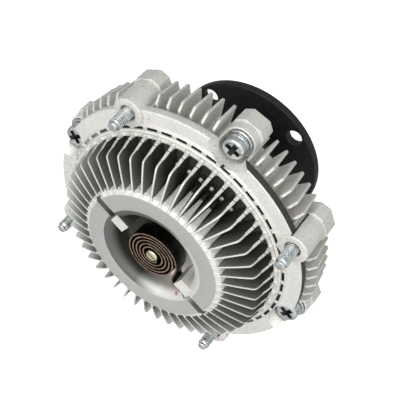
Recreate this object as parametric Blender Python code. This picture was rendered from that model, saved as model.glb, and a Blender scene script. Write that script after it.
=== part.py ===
"""A viscous fan clutch of a car engine, as an assembly of its real pieces.

Metres, +Z up. The clutch stands on the back of its mounting flange, its axis is Z, and
its front, with the bimetal coil, is up. Angles are in degrees about Z, from +X.
"""

import math

import bmesh
import bpy
from mathutils import Matrix, Vector

MM = 0.001
FULL_TURN = 360.0
SHARP_ANGLE = 35.0

# Clearances
GAP = 0.3 * MM
ROTOR_CLEARANCE = 0.9 * MM
ROTOR_RIM_CLEARANCE = 1.5 * MM
BALL_CLEARANCE = 0.12 * MM
CUT_OVERSHOOT = 1.0 * MM
EMBEDDED = 1.0 * MM
SAME_POINT = 0.001 * MM

# Facets of a full turn
COVER_FACETS = 48
CASE_FACETS = 32
RECESS_FACETS = 24
SHAFT_FACETS = 24
SEAL_FACETS = 18
INNER_FACETS = 16
BOSS_FACETS = 10
SMALL_FACETS = 10
BALL_FACETS = 8
BALL_RINGS = 4
POCKET_FACETS = 6
NECK_FILLET_STEPS = 1
RECESS_FILLET_STEPS = 2
SNAP_RING_STEPS = 12
ARM_HUB_STEPS = 6
ARM_PAD_STEPS = 5

# Mounting flange and shaft
FLANGE_RADIUS = 40.0 * MM
FLANGE_THICKNESS = 4.1 * MM
FLANGE_HOLES = 4
FLANGE_HOLE_RADIUS = 4.1 * MM
FLANGE_HOLE_EDGE = 6.0 * MM
FLANGE_HOLE_CIRCLE = FLANGE_RADIUS - FLANGE_HOLE_EDGE
FLANGE_HOLE_ANGLE = 63.1
PILOT_RADIUS = 11.0 * MM
PILOT_DEPTH = 9.0 * MM
NECK_RADIUS = 14.5 * MM
NECK_FILLET = 3.0 * MM
NECK_LENGTH = 19.9 * MM
ROTOR_SEAT_RADIUS = 8.0 * MM

# Ball bearing, the common 20 x 47 x 14 size
BEARING_BORE_RADIUS = 10.0 * MM
BEARING_RADIUS = 23.5 * MM
BEARING_WIDTH = 14.0 * MM
BEARING_INSET = 4.0 * MM
BALL_COUNT = 8
BALL_RADIUS = 3.97 * MM
RACE_LIP = 2.35 * MM
CAGE_THICKNESS = 0.8 * MM
CAGE_WIDTH = 10.4 * MM
SEAL_THICKNESS = 0.8 * MM
SEAL_INSET = 0.5 * MM
SNAP_RING_THICKNESS = 1.0 * MM
SNAP_RING_DEPTH = 1.2 * MM
SNAP_RING_WIDTH = 2.2 * MM
SNAP_RING_OPENING_ANGLE = 40.0

# Rear case
HUB_WALL = 6.2 * MM
WALL_THICKNESS = 2.7 * MM
DISH_DEPTH = 2.5 * MM
REAR_WALL = 5.0 * MM
HUB_STEP_WIDTH = 3.3 * MM
HUB_STEP_LENGTH = 10.2 * MM
CAVITY_RADIUS = 51.5 * MM
COVER_SEAT_DEPTH = 5.1 * MM
RING_WIDTH = 6.6 * MM
RING_THICKNESS = 4.2 * MM

# Labyrinth: a ring of the case that runs in a groove of the rotor
LAND_RADIUS = 37.0 * MM
LAND_THICKNESS = 1.2 * MM
LAND_HEIGHT = 3.0 * MM

# Rotor
ROTOR_THICKNESS = 10.0 * MM
ROTOR_HUB_RADIUS = 13.5 * MM
ROTOR_WEB = 4.0 * MM
ROTOR_WEB_RADIUS = 30.0 * MM

# Bosses for the fan, on one circle outside the wall: studs and screws take turns
BOSS_OFFSET = 5.0 * MM
BOSS_RADIUS = 7.4 * MM
BOSS_PAIRS = 4
STUD_ANGLE = 45.0
SCREW_ANGLE = 0.0
STUD_BOSS_LEAD = 1.3 * MM
SCREW_BOSS_DROP = 11.9 * MM
SPOT_FACE_DEPTH = 0.4 * MM
BLOCK_MARGIN = 0.2 * MM
BLOCK_LENGTH = 8.5 * MM
BLOCK_FLAT = 8.5 * MM
BLOCK_SLOPE = 3.6 * MM
BLOCK_BACK = 1.5 * MM

# Fan studs and screws, M6
THREAD_RADIUS = 3.0 * MM
THREAD_HOLE_RADIUS = 3.3 * MM
THREAD_TIP = 0.7 * MM
STUD_LENGTH = 11.4 * MM
STUD_DEPTH = 13.0 * MM
SCREW_DEPTH = 9.0 * MM
SCREW_HEAD_RADIUS = 5.85 * MM
SCREW_HEAD_HEIGHT = 3.8 * MM
SCREW_HEAD_SIDE = 1.9 * MM
SCREW_HEAD_TOP = 3.3 * MM
FLAT_WASHER_RADIUS = 6.5 * MM
FLAT_WASHER_THICKNESS = 1.2 * MM
SPRING_WASHER_RADIUS = 5.7 * MM
SPRING_WASHER_THICKNESS = 1.5 * MM
SPRING_WASHER_SLIT_ANGLE = 12.0

# Fins of the rear case, on a pitch that runs past the bosses
REAR_FIN_PITCH = 4.5
REAR_FINS_TALL = 6
REAR_FIN_REACH = 12.3 * MM
REAR_FIN_SHORT_REACH = 4.6 * MM
REAR_FIN_LEAN = 2.2 * MM
REAR_FIN_BEVEL = 3.0 * MM
REAR_FIN_FRONT_DROP = 1.2 * MM
REAR_FIN_BACK = 2.4 * MM
REAR_FIN_RUN = 15.0 * MM
FIN_EMBEDDED = 2.5 * MM
REAR_FIN_ROOT = 1.5 * MM
REAR_FIN_TIP = 1.1 * MM

# Front cover
COVER_HEIGHT = 25.3 * MM
COVER_RIM_HEIGHT = 6.4 * MM
COVER_SEAT_WIDTH = 5.5 * MM
COVER_SKIRT_WIDTH = 4.2 * MM
COVER_WALL = 3.0 * MM
DISH_FRONT = 8.4 * MM
COVER_BOSS_RADIUS = 37.5 * MM
COVER_BOSS_SHOULDER = 2.5 * MM
RECESS_RADIUS = 24.2 * MM
RECESS_DEPTH = 12.4 * MM
RECESS_FILLET = 6.0 * MM
SLOT_ANGLE = -14.3
SLOT_WIDTH = 4.0 * MM
SLOT_DEPTH = 2.7 * MM
SLOT_INNER_RADIUS = 25.2 * MM
LUG_INNER_RADIUS = 17.0 * MM
LUG_WIDTH = 4.6 * MM
LUG_DROP = 0.4 * MM
PIN_HUB_WALL = 4.25 * MM
PIN_HUB_LENGTH = 3.3 * MM

# Fins of the front cover
FRONT_FINS = 48
FRONT_FIN_START_DROP = 0.6 * MM
FRONT_FIN_TIP_INSET = 3.1 * MM
FRONT_FIN_TIP_DROP = 5.2 * MM
FRONT_FIN_HEEL_INSET = 1.7 * MM
FRONT_FIN_HEEL_HEIGHT = 4.5 * MM
FRONT_FIN_FOOT_INSET = 0.8 * MM
FRONT_FIN_ROOT = 1.8 * MM
FRONT_FIN_EDGE = 1.0 * MM
SHORT_RIB_LENGTH = 5.5 * MM
SHORT_RIB_HEIGHT = 6.0 * MM
SHORT_RIB_THICKNESS = 1.2 * MM

# Seal between the case and the cover, in a rebate round the cover's back
CASE_SEAL_SECTION = 1.5 * MM
CASE_SEAL_ROOM = 0.7 * MM

# Partition plate
PLATE_THICKNESS = 1.0 * MM
PORT_RADIUS = 3.0 * MM
PORT_INSET = 12.5 * MM
PORT_ANGLE = 60.0

# Valve: pivot pin, arm and seal
PIN_RADIUS = 3.5 * MM
PIN_CLEARANCE = 0.25 * MM
PIN_COLLAR_RADIUS = 5.0 * MM
PIN_COLLAR_THICKNESS = 2.8 * MM
PIN_RIVET_RADIUS = 2.3 * MM
PIN_TIP_RADIUS = 2.6 * MM
PIN_TIP_LENGTH = 8.7 * MM
PIN_SHOULDER = 3.4 * MM
PIN_GROOVE_INSET = 2.0 * MM
PIN_SEAL_SECTION = 1.0 * MM
PIN_SEAL_DEPTH = 1.0 * MM
ARM_THICKNESS = 1.0 * MM
ARM_HUB_RADIUS = 7.0 * MM
ARM_PAD_RADIUS = 4.6 * MM

# Bimetal coil
COIL_STRIP_THICKNESS = 0.8 * MM
COIL_STRIP_WIDTH = 8.0 * MM
COIL_RADIUS = 13.3 * MM
COIL_START_RADIUS = 4.0 * MM
COIL_PITCH = 1.9 * MM
COIL_HOOK_ANGLE = 4.0
COIL_LEAD_IN_ANGLE = 20.0
COIL_END_ANGLE = -46.0
COIL_STEPS_PER_TURN = 12
COIL_TANG_STEPS = 3
COIL_TANG_REACH = 3.2 * MM

# Levels along the axis, each on the one before
HUB_BACK = FLANGE_THICKNESS + NECK_LENGTH
BEARING_BACK = HUB_BACK + BEARING_INSET
BEARING_FRONT = BEARING_BACK + BEARING_WIDTH
CAVITY_FLOOR = BEARING_FRONT + GAP + HUB_STEP_LENGTH
ROTOR_BACK = CAVITY_FLOOR + ROTOR_CLEARANCE
ROTOR_FRONT = ROTOR_BACK + ROTOR_THICKNESS
COVER_SEAT = ROTOR_FRONT + ROTOR_CLEARANCE
RING_FRONT = COVER_SEAT + COVER_SEAT_DEPTH
RING_BACK = RING_FRONT - RING_THICKNESS
DISH_BACK = CAVITY_FLOOR - REAR_WALL
BLOCKS_BACK = DISH_BACK - BLOCK_BACK
BLOCKS_FRONT = BLOCKS_BACK + BLOCK_LENGTH
STUD_BOSS_FRONT = RING_FRONT + STUD_BOSS_LEAD
SCREW_BOSS_FRONT = RING_FRONT - SCREW_BOSS_DROP
PLATE_BACK = COVER_SEAT + GAP
PLATE_FRONT = PLATE_BACK + PLATE_THICKNESS
COVER_BACK = COVER_SEAT + GAP
COVER_FRONT = COVER_BACK + COVER_HEIGHT
RIM_FRONT = COVER_BACK + COVER_RIM_HEIGHT
DISH_FLOOR = COVER_BACK + DISH_FRONT
RECESS_FLOOR = COVER_FRONT - RECESS_DEPTH
PIN_HUB_BACK = RECESS_FLOOR - COVER_WALL - PIN_HUB_LENGTH
LUG_FRONT = COVER_FRONT - LUG_DROP
COIL_BACK = RECESS_FLOOR + PIN_SHOULDER + GAP
COIL_FRONT = COIL_BACK + COIL_STRIP_WIDTH

# Radii that follow from a neighbour
BALL_CIRCLE = (BEARING_BORE_RADIUS + BEARING_RADIUS) / 2
BEARING_HOUSING_RADIUS = BEARING_RADIUS + GAP
HUB_RADIUS = BEARING_HOUSING_RADIUS + HUB_WALL
HUB_STEP_RADIUS = BEARING_HOUSING_RADIUS - HUB_STEP_WIDTH
ROTOR_RADIUS = CAVITY_RADIUS - ROTOR_RIM_CLEARANCE
COVER_RADIUS = CAVITY_RADIUS + COVER_SEAT_WIDTH
COVER_BORE_RADIUS = COVER_RADIUS + GAP
WALL_RADIUS = COVER_BORE_RADIUS + WALL_THICKNESS
RING_RADIUS = WALL_RADIUS + RING_WIDTH
BOSS_CIRCLE = WALL_RADIUS + BOSS_OFFSET
REAR_FIN_INNER_RADIUS = WALL_RADIUS - REAR_FIN_RUN
PLATE_POCKET_RADIUS = COVER_RADIUS - COVER_SKIRT_WIDTH
PLATE_RADIUS = PLATE_POCKET_RADIUS - GAP
PORT_CIRCLE = PLATE_RADIUS - PORT_INSET
FRONT_FIN_TIP_RADIUS = COVER_RADIUS - FRONT_FIN_TIP_INSET
FRONT_FIN_HEEL_RADIUS = COVER_RADIUS - FRONT_FIN_HEEL_INSET
FRONT_FIN_FOOT_RADIUS = COVER_RADIUS - FRONT_FIN_FOOT_INSET
PIN_BORE_RADIUS = PIN_RADIUS + PIN_CLEARANCE
PIN_HUB_RADIUS = PIN_BORE_RADIUS + PIN_HUB_WALL
PIN_GROOVE_BACK = PIN_HUB_BACK + PIN_GROOVE_INSET


def plain_material(name, colour, metallic, roughness):
    """A Principled material from a linear colour."""
    material = bpy.data.materials.new(name)
    material.use_nodes = True
    shader = material.node_tree.nodes["Principled BSDF"]
    shader.inputs["Base Color"].default_value = (*colour, 1.0)
    shader.inputs["Metallic"].default_value = metallic
    shader.inputs["Roughness"].default_value = roughness
    material.diffuse_color = (*colour, 1.0)
    return material


def polar(radius, degrees, height=0.0):
    """The point at a radius, an angle and a height."""
    angle = math.radians(degrees)
    return Vector((radius * math.cos(angle), radius * math.sin(angle), height))


def arc(centre, radius, start, end, steps):
    """Points of a round stretch of an outline, both ends included."""
    angles = [math.radians(start + (end - start) * i / steps) for i in range(steps + 1)]
    return [(centre[0] + radius * math.cos(a), centre[1] + radius * math.sin(a)) for a in angles]


def placed(name, bm, material, parent=None):
    """Turns a bmesh into a smooth-shaded object, its faces outward."""
    bmesh.ops.recalc_face_normals(bm, faces=bm.faces)
    mesh = bpy.data.meshes.new(name)
    bm.to_mesh(mesh)
    bm.free()
    mesh.shade_smooth()
    mesh.set_sharp_from_angle(angle=math.radians(SHARP_ANGLE))
    if material:
        mesh.materials.append(material)
    obj = bpy.data.objects.new(name, mesh)
    bpy.context.scene.collection.objects.link(obj)
    obj.parent = parent
    return obj


def guide(obj):
    """Marks an object as a cutter or a blank that is no piece of its own."""
    obj.hide_render = True
    obj.display_type = "WIRE"
    return obj


def combine(target, other, operation):
    """Joins or cuts with another body, which becomes a guide."""
    guide(other)
    modifier = target.modifiers.new(other.name, "BOOLEAN")
    modifier.operation = operation
    modifier.solver = "EXACT"
    modifier.object = other
    return target


def add_turned(bm, outline, facets, offset=Vector((0.0, 0.0, 0.0)), facing=0.0):
    """Adds a closed outline of (radius, height) points turned about Z, with a facet facing an angle."""
    turn = FULL_TURN / facets
    rings = []
    for radius, height in outline:
        if radius < SAME_POINT:
            rings.append([bm.verts.new(offset + Vector((0.0, 0.0, height)))] * facets)
        else:
            corners = [polar(radius, facing + turn * (k + 0.5), height) for k in range(facets)]
            rings.append([bm.verts.new(offset + corner) for corner in corners])
    for lower, upper in zip(rings, rings[1:] + rings[:1]):
        for k in range(facets):
            after = (k + 1) % facets
            corners = list(dict.fromkeys((lower[k], lower[after], upper[after], upper[k])))
            if len(corners) > 2:
                bm.faces.new(corners)


def turned(name, outline, facets, material=None, parent=None):
    """A turned body."""
    bm = bmesh.new()
    add_turned(bm, outline, facets)
    return placed(name, bm, material, parent)


def turned_at(name, outline, facets, radius, angles):
    """Turned bodies at several angles of a circle, in one guide."""
    bm = bmesh.new()
    for degrees in angles:
        add_turned(bm, outline, facets, polar(radius, degrees), degrees)
    return placed(name, bm, None)


def add_extruded(bm, outline, back, front, degrees=0.0):
    """Adds a closed outline of (x, y) points extruded along Z and turned about Z."""
    turn = Matrix.Rotation(math.radians(degrees), 3, "Z")
    lower = [bm.verts.new(turn @ Vector((x, y, back))) for x, y in outline]
    upper = [bm.verts.new(turn @ Vector((x, y, front))) for x, y in outline]
    add_sides(bm, lower, upper)


def add_sides(bm, lower, upper):
    """Closes two matching loops of points into one body."""
    bm.faces.new(lower)
    bm.faces.new(upper)
    for i in range(len(lower)):
        after = (i + 1) % len(lower)
        bm.faces.new((lower[i], lower[after], upper[after], upper[i]))


def extruded(name, outline, back, front, material=None, parent=None, degrees=0.0):
    """An extruded body."""
    bm = bmesh.new()
    add_extruded(bm, outline, back, front, degrees)
    return placed(name, bm, material, parent)


def add_radial_plate(bm, outline, degrees, half_thickness):
    """Adds a fin: an outline of (radius, height) points, with half its thickness given at each."""
    turn = Matrix.Rotation(math.radians(degrees), 3, "Z")
    left = [bm.verts.new(turn @ Vector((r, -half_thickness(r, z), z))) for r, z in outline]
    right = [bm.verts.new(turn @ Vector((r, half_thickness(r, z), z))) for r, z in outline]
    add_sides(bm, left, right)


def rectangle(x0, x1, width):
    """A plan outline from x0 to x1, centred on the X axis."""
    return [(x0, -width / 2), (x1, -width / 2), (x1, width / 2), (x0, width / 2)]


def circle_angles(count, start):
    return [start + FULL_TURN / count * i for i in range(count)]


def add_axis(name, parent=None):
    """An empty on the clutch's axis, which carries one moving body."""
    empty = bpy.data.objects.new(name, None)
    bpy.context.scene.collection.objects.link(empty)
    empty.parent = parent
    return empty


def add_copies(name, first, radius, angles, height, parent):
    """Places a piece and its copies, which share its mesh, on a circle."""
    for index, degrees in enumerate(angles):
        obj = first if index == 0 else first.copy()
        obj.name = f"{name}_{index + 1}"
        if index:
            bpy.context.scene.collection.objects.link(obj)
        obj.location = polar(radius, degrees, height)
        obj.rotation_euler.z = math.radians(degrees)
        obj.parent = parent


def build_flanged_shaft(material, parent):
    """Flange, neck, bearing seat and rotor seat are one forging, with a blind pilot bore behind."""
    fillet_centre = (NECK_RADIUS + NECK_FILLET, FLANGE_THICKNESS + NECK_FILLET)
    outline = [
        (0.0, PILOT_DEPTH),
        (PILOT_RADIUS, PILOT_DEPTH),
        (PILOT_RADIUS, 0.0),
        (FLANGE_RADIUS, 0.0),
        (FLANGE_RADIUS, FLANGE_THICKNESS),
        *arc(fillet_centre, NECK_FILLET, 270.0, 180.0, NECK_FILLET_STEPS),
        (NECK_RADIUS, BEARING_BACK - GAP),
        (BEARING_BORE_RADIUS - GAP, BEARING_BACK - GAP),
        (BEARING_BORE_RADIUS - GAP, BEARING_FRONT),
        (ROTOR_SEAT_RADIUS, BEARING_FRONT + GAP),
        (ROTOR_SEAT_RADIUS, ROTOR_FRONT - GAP),
        (0.0, ROTOR_FRONT - GAP),
    ]
    shaft = turned("flanged_shaft", outline, SHAFT_FACETS, material, parent)
    hole = [
        (0.0, -CUT_OVERSHOOT),
        (FLANGE_HOLE_RADIUS, -CUT_OVERSHOOT),
        (FLANGE_HOLE_RADIUS, FLANGE_THICKNESS + CUT_OVERSHOOT),
        (0.0, FLANGE_THICKNESS + CUT_OVERSHOOT),
    ]
    angles = circle_angles(FLANGE_HOLES, FLANGE_HOLE_ANGLE)
    holes = turned_at("flange_hole_cutters", hole, BOSS_FACETS, FLANGE_HOLE_CIRCLE, angles)
    return combine(shaft, holes, "DIFFERENCE")


def build_rotor(material, parent):
    """A disc with a thin web and, in the back of its rim, the groove that the case's ring runs in."""
    bore = ROTOR_SEAT_RADIUS + GAP
    web_back = ROTOR_FRONT - ROTOR_WEB
    groove_half = LAND_THICKNESS / 2 + ROTOR_CLEARANCE
    outline = [
        (bore, BEARING_FRONT + GAP),
        (ROTOR_HUB_RADIUS, BEARING_FRONT + GAP),
        (ROTOR_HUB_RADIUS, web_back),
        (ROTOR_WEB_RADIUS, web_back),
        (ROTOR_WEB_RADIUS, ROTOR_BACK),
        (LAND_RADIUS - groove_half, ROTOR_BACK),
        (LAND_RADIUS - groove_half, ROTOR_BACK + LAND_HEIGHT),
        (LAND_RADIUS + groove_half, ROTOR_BACK + LAND_HEIGHT),
        (LAND_RADIUS + groove_half, ROTOR_BACK),
        (ROTOR_RADIUS, ROTOR_BACK),
        (ROTOR_RADIUS, ROTOR_FRONT),
        (bore, ROTOR_FRONT),
    ]
    return turned("rotor", outline, INNER_FACETS, material, parent)


def race_groove(radius_at_ball, side):
    """The ball track of a race, as (radius, height) points; side is -1 inside the balls, 1 outside."""
    centre = BEARING_BACK + BEARING_WIDTH / 2
    track = BALL_RADIUS + BALL_CLEARANCE
    lip = abs(radius_at_ball - BALL_CIRCLE)
    half = math.sqrt(track**2 - lip**2)
    deepest = BALL_CIRCLE + side * track
    if side > 0:
        flat = math.cos(math.pi / INNER_FACETS)
        deepest /= flat
        radius_at_ball /= flat
    return [
        (radius_at_ball, centre - half),
        (deepest, centre - half / 2),
        (deepest, centre + half / 2),
        (radius_at_ball, centre + half),
    ]


def build_bearing(steel, seal_material, cage_material, drive, housing, cage_axis):
    """Races, seals, cage and balls of the deep groove bearing."""
    inner_lip = BALL_CIRCLE - RACE_LIP
    outer_lip = BALL_CIRCLE + RACE_LIP
    inner = [
        (BEARING_BORE_RADIUS, BEARING_BACK),
        (inner_lip, BEARING_BACK),
        *race_groove(inner_lip, -1),
        (inner_lip, BEARING_FRONT),
        (BEARING_BORE_RADIUS, BEARING_FRONT),
    ]
    turned("bearing_inner_race", inner, INNER_FACETS, steel, drive)
    outer = [
        (BEARING_RADIUS, BEARING_BACK),
        (outer_lip, BEARING_BACK),
        *race_groove(outer_lip, 1),
        (outer_lip, BEARING_FRONT),
        (BEARING_RADIUS, BEARING_FRONT),
    ]
    turned("bearing_outer_race", outer, INNER_FACETS, steel, housing)
    rear_seal = BEARING_BACK + SEAL_INSET
    front_seal = BEARING_FRONT - SEAL_INSET - SEAL_THICKNESS
    for name, back in (("bearing_seal_rear", rear_seal), ("bearing_seal_front", front_seal)):
        seal = [
            (inner_lip + GAP, back),
            (outer_lip - GAP, back),
            (outer_lip - GAP, back + SEAL_THICKNESS),
            (inner_lip + GAP, back + SEAL_THICKNESS),
        ]
        turned(name, seal, INNER_FACETS, seal_material, housing)
    build_cage(cage_material, cage_axis)
    bm = bmesh.new()
    bmesh.ops.create_uvsphere(bm, u_segments=BALL_FACETS, v_segments=BALL_RINGS, radius=BALL_RADIUS)
    ball = placed("bearing_ball", bm, steel)
    height = BEARING_BACK + BEARING_WIDTH / 2
    angles = circle_angles(BALL_COUNT, 0.0)
    add_copies("bearing_ball", ball, BALL_CIRCLE, angles, height, cage_axis)


def build_cage(material, parent):
    """A thin ring round the ball circle, with a pocket for each ball."""
    middle = BEARING_BACK + BEARING_WIDTH / 2
    outline = [
        (BALL_CIRCLE - CAGE_THICKNESS / 2, middle - CAGE_WIDTH / 2),
        (BALL_CIRCLE + CAGE_THICKNESS / 2, middle - CAGE_WIDTH / 2),
        (BALL_CIRCLE + CAGE_THICKNESS / 2, middle + CAGE_WIDTH / 2),
        (BALL_CIRCLE - CAGE_THICKNESS / 2, middle + CAGE_WIDTH / 2),
    ]
    cage = turned("bearing_cage", outline, INNER_FACETS, material, parent)
    bm = bmesh.new()
    pocket = (BALL_RADIUS + GAP) / math.cos(math.pi / POCKET_FACETS)
    for degrees in circle_angles(BALL_COUNT, 0.0):
        place = Matrix.Translation(polar(BALL_CIRCLE, degrees, middle))
        turn = Matrix.Rotation(math.radians(degrees), 4, "Z") @ Matrix.Rotation(math.radians(90), 4, "Y")
        flat_side = Matrix.Rotation(math.pi / POCKET_FACETS, 4, "Z")
        bmesh.ops.create_cone(
            bm,
            cap_ends=True,
            segments=POCKET_FACETS,
            radius1=pocket,
            radius2=pocket,
            depth=2 * BALL_RADIUS,
            matrix=place @ turn @ flat_side,
        )
    return combine(cage, placed("cage_pocket_cutters", bm, None), "DIFFERENCE")


def build_snap_ring(material, parent):
    """An open ring in the case's groove, behind the bearing."""
    outer_radius = BEARING_HOUSING_RADIUS + SNAP_RING_DEPTH - GAP
    inner_radius = outer_radius - SNAP_RING_WIDTH
    start = SNAP_RING_OPENING_ANGLE / 2
    outer = arc((0.0, 0.0), outer_radius, start, FULL_TURN - start, SNAP_RING_STEPS)
    inner = arc((0.0, 0.0), inner_radius, FULL_TURN - start, start, SNAP_RING_STEPS)
    back = BEARING_BACK - GAP - SNAP_RING_THICKNESS
    bm = bmesh.new()
    add_extruded(bm, outer + inner, back, back + SNAP_RING_THICKNESS, -90.0)
    return placed("bearing_snap_ring", bm, material, parent)


def case_blank():
    """The outside of the case: hub, dished back, wall and ring flange, still solid."""
    return [
        (0.0, HUB_BACK),
        (HUB_RADIUS, HUB_BACK),
        (HUB_RADIUS, DISH_BACK - DISH_DEPTH),
        (WALL_RADIUS, DISH_BACK),
        (WALL_RADIUS, RING_BACK),
        (RING_RADIUS, RING_BACK),
        (RING_RADIUS, RING_FRONT),
        (0.0, RING_FRONT),
    ]


def rear_fin_outline(reach, front_corner):
    """A fin of the case, widest behind, and run out along the dished back."""
    return [
        (WALL_RADIUS - FIN_EMBEDDED, RING_BACK - REAR_FIN_FRONT_DROP),
        *front_corner,
        (WALL_RADIUS + reach, DISH_BACK - REAR_FIN_BACK),
        (REAR_FIN_INNER_RADIUS, DISH_BACK),
        (WALL_RADIUS - FIN_EMBEDDED, DISH_BACK + FIN_EMBEDDED),
    ]


def rear_fins():
    """Tall fins between the bosses, and a short one on each side of every boss."""

    def half(radius, height):
        outward = (radius - REAR_FIN_INNER_RADIUS) / (WALL_RADIUS + REAR_FIN_REACH - REAR_FIN_INNER_RADIUS)
        return (REAR_FIN_ROOT + (REAR_FIN_TIP - REAR_FIN_ROOT) * outward) / 2

    front = RING_BACK - REAR_FIN_FRONT_DROP
    edge = WALL_RADIUS + REAR_FIN_REACH - REAR_FIN_LEAN
    tall = rear_fin_outline(REAR_FIN_REACH, [(edge - REAR_FIN_BEVEL, front), (edge, front - REAR_FIN_BEVEL)])
    short = rear_fin_outline(REAR_FIN_SHORT_REACH, [(WALL_RADIUS + REAR_FIN_SHORT_REACH, front)])
    bm = bmesh.new()
    for boss in circle_angles(2 * BOSS_PAIRS, 0.0):
        middle = boss + FULL_TURN / (4 * BOSS_PAIRS)
        for index in range(REAR_FINS_TALL):
            degrees = middle + REAR_FIN_PITCH * (index - (REAR_FINS_TALL - 1) / 2)
            add_radial_plate(bm, tall, degrees, half)
        for side in (-1, 1):
            degrees = middle + side * REAR_FIN_PITCH * (REAR_FINS_TALL + 1) / 2
            add_radial_plate(bm, short, degrees, half)
    return placed("rear_fin_blanks", bm, None)


def boss_blocks():
    """The cast block behind each boss, with a flat and two sloped sides outward."""
    half_width = BOSS_RADIUS + BLOCK_MARGIN
    outer = BOSS_CIRCLE + half_width
    inner = WALL_RADIUS - FIN_EMBEDDED
    outline = [
        (inner, -half_width),
        (outer - BLOCK_SLOPE, -half_width),
        (outer, -BLOCK_FLAT / 2),
        (outer, BLOCK_FLAT / 2),
        (outer - BLOCK_SLOPE, half_width),
        (inner, half_width),
    ]
    bm = bmesh.new()
    for degrees in circle_angles(2 * BOSS_PAIRS, 0.0):
        add_extruded(bm, outline, BLOCKS_BACK, BLOCKS_FRONT, degrees)
    return placed("boss_block_blanks", bm, None)


def boss_blanks(name, start, front):
    """The round bosses of one kind."""
    outline = [
        (0.0, BLOCKS_BACK + EMBEDDED),
        (BOSS_RADIUS, BLOCKS_BACK + EMBEDDED),
        (BOSS_RADIUS, front),
        (0.0, front),
    ]
    return turned_at(name, outline, BOSS_FACETS, BOSS_CIRCLE, circle_angles(BOSS_PAIRS, start))


def case_cavity():
    """Bearing bore with its snap ring groove, hub step, and rotor cavity with the ring land."""
    ring_back = BEARING_BACK - SNAP_RING_THICKNESS - 2 * GAP
    groove_radius = (BEARING_HOUSING_RADIUS + SNAP_RING_DEPTH) / math.cos(math.pi / INNER_FACETS)
    land_top = CAVITY_FLOOR + LAND_HEIGHT
    outline = [
        (0.0, HUB_BACK - CUT_OVERSHOOT),
        (BEARING_HOUSING_RADIUS, HUB_BACK - CUT_OVERSHOOT),
        (BEARING_HOUSING_RADIUS, ring_back),
        (groove_radius, ring_back),
        (groove_radius, BEARING_BACK),
        (BEARING_HOUSING_RADIUS, BEARING_BACK),
        (BEARING_HOUSING_RADIUS, BEARING_FRONT + GAP),
        (HUB_STEP_RADIUS, BEARING_FRONT + GAP),
        (HUB_STEP_RADIUS, CAVITY_FLOOR),
        (LAND_RADIUS - LAND_THICKNESS / 2, CAVITY_FLOOR),
        (LAND_RADIUS - LAND_THICKNESS / 2, land_top),
        (LAND_RADIUS + LAND_THICKNESS / 2, land_top),
        (LAND_RADIUS + LAND_THICKNESS / 2, CAVITY_FLOOR),
        (CAVITY_RADIUS, CAVITY_FLOOR),
        (CAVITY_RADIUS, COVER_SEAT + CUT_OVERSHOOT),
        (0.0, COVER_SEAT + CUT_OVERSHOOT),
    ]
    return turned("case_cavity_cutter", outline, INNER_FACETS)


def stud_hole():
    """A blind hole for a fan stud."""
    bottom = STUD_BOSS_FRONT - STUD_DEPTH - GAP
    return [
        (0.0, bottom),
        (THREAD_HOLE_RADIUS, bottom),
        (THREAD_HOLE_RADIUS, STUD_BOSS_FRONT + CUT_OVERSHOOT),
        (0.0, STUD_BOSS_FRONT + CUT_OVERSHOOT),
    ]


def screw_hole():
    """A blind hole for a fan screw, its spot face, and the relief of the ring flange over it."""
    bottom = SCREW_BOSS_FRONT - SCREW_DEPTH - GAP
    relief = FLAT_WASHER_RADIUS + GAP
    return [
        (0.0, bottom),
        (THREAD_HOLE_RADIUS, bottom),
        (THREAD_HOLE_RADIUS, SCREW_BOSS_FRONT),
        (relief, SCREW_BOSS_FRONT),
        (relief, RING_FRONT + CUT_OVERSHOOT),
        (0.0, RING_FRONT + CUT_OVERSHOOT),
    ]


def build_rear_case(material, parent):
    """The finned rear casting."""
    case = turned("rear_case", case_blank(), CASE_FACETS, material, parent)
    combine(case, rear_fins(), "UNION")
    combine(case, boss_blocks(), "UNION")
    combine(case, boss_blanks("stud_boss_blanks", STUD_ANGLE, STUD_BOSS_FRONT), "UNION")
    screw_boss_top = SCREW_BOSS_FRONT + SPOT_FACE_DEPTH
    combine(case, boss_blanks("screw_boss_blanks", SCREW_ANGLE, screw_boss_top), "UNION")
    combine(case, case_cavity(), "DIFFERENCE")
    seat = [
        (0.0, COVER_SEAT),
        (COVER_BORE_RADIUS, COVER_SEAT),
        (COVER_BORE_RADIUS, RING_FRONT + CUT_OVERSHOOT),
        (0.0, RING_FRONT + CUT_OVERSHOOT),
    ]
    combine(case, turned("cover_seat_cutter", seat, COVER_FACETS), "DIFFERENCE")
    stud_angles = circle_angles(BOSS_PAIRS, STUD_ANGLE)
    screw_angles = circle_angles(BOSS_PAIRS, SCREW_ANGLE)
    holes = turned_at("stud_hole_cutters", stud_hole(), SMALL_FACETS, BOSS_CIRCLE, stud_angles)
    combine(case, holes, "DIFFERENCE")
    holes = turned_at("screw_hole_cutters", screw_hole(), SMALL_FACETS, BOSS_CIRCLE, screw_angles)
    return combine(case, holes, "DIFFERENCE")


def cover_blank():
    """The outside of the cover: rim, dish, and boss with its shoulder."""
    return [
        (0.0, COVER_BACK),
        (COVER_RADIUS, COVER_BACK),
        (COVER_RADIUS, RIM_FRONT),
        (COVER_BOSS_RADIUS, DISH_FLOOR),
        (COVER_BOSS_RADIUS, COVER_FRONT - COVER_BOSS_SHOULDER),
        (COVER_BOSS_RADIUS - COVER_BOSS_SHOULDER, COVER_FRONT),
        (0.0, COVER_FRONT),
    ]


def coil_recess():
    """The round recess that the coil lies in, with a fillet round its floor."""
    fillet = (RECESS_RADIUS - RECESS_FILLET, RECESS_FLOOR + RECESS_FILLET)
    return [
        (0.0, COVER_FRONT + CUT_OVERSHOOT),
        (RECESS_RADIUS, COVER_FRONT + CUT_OVERSHOOT),
        *arc(fillet, RECESS_FILLET, 0.0, -90.0, RECESS_FILLET_STEPS),
        (0.0, RECESS_FLOOR),
    ]


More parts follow.
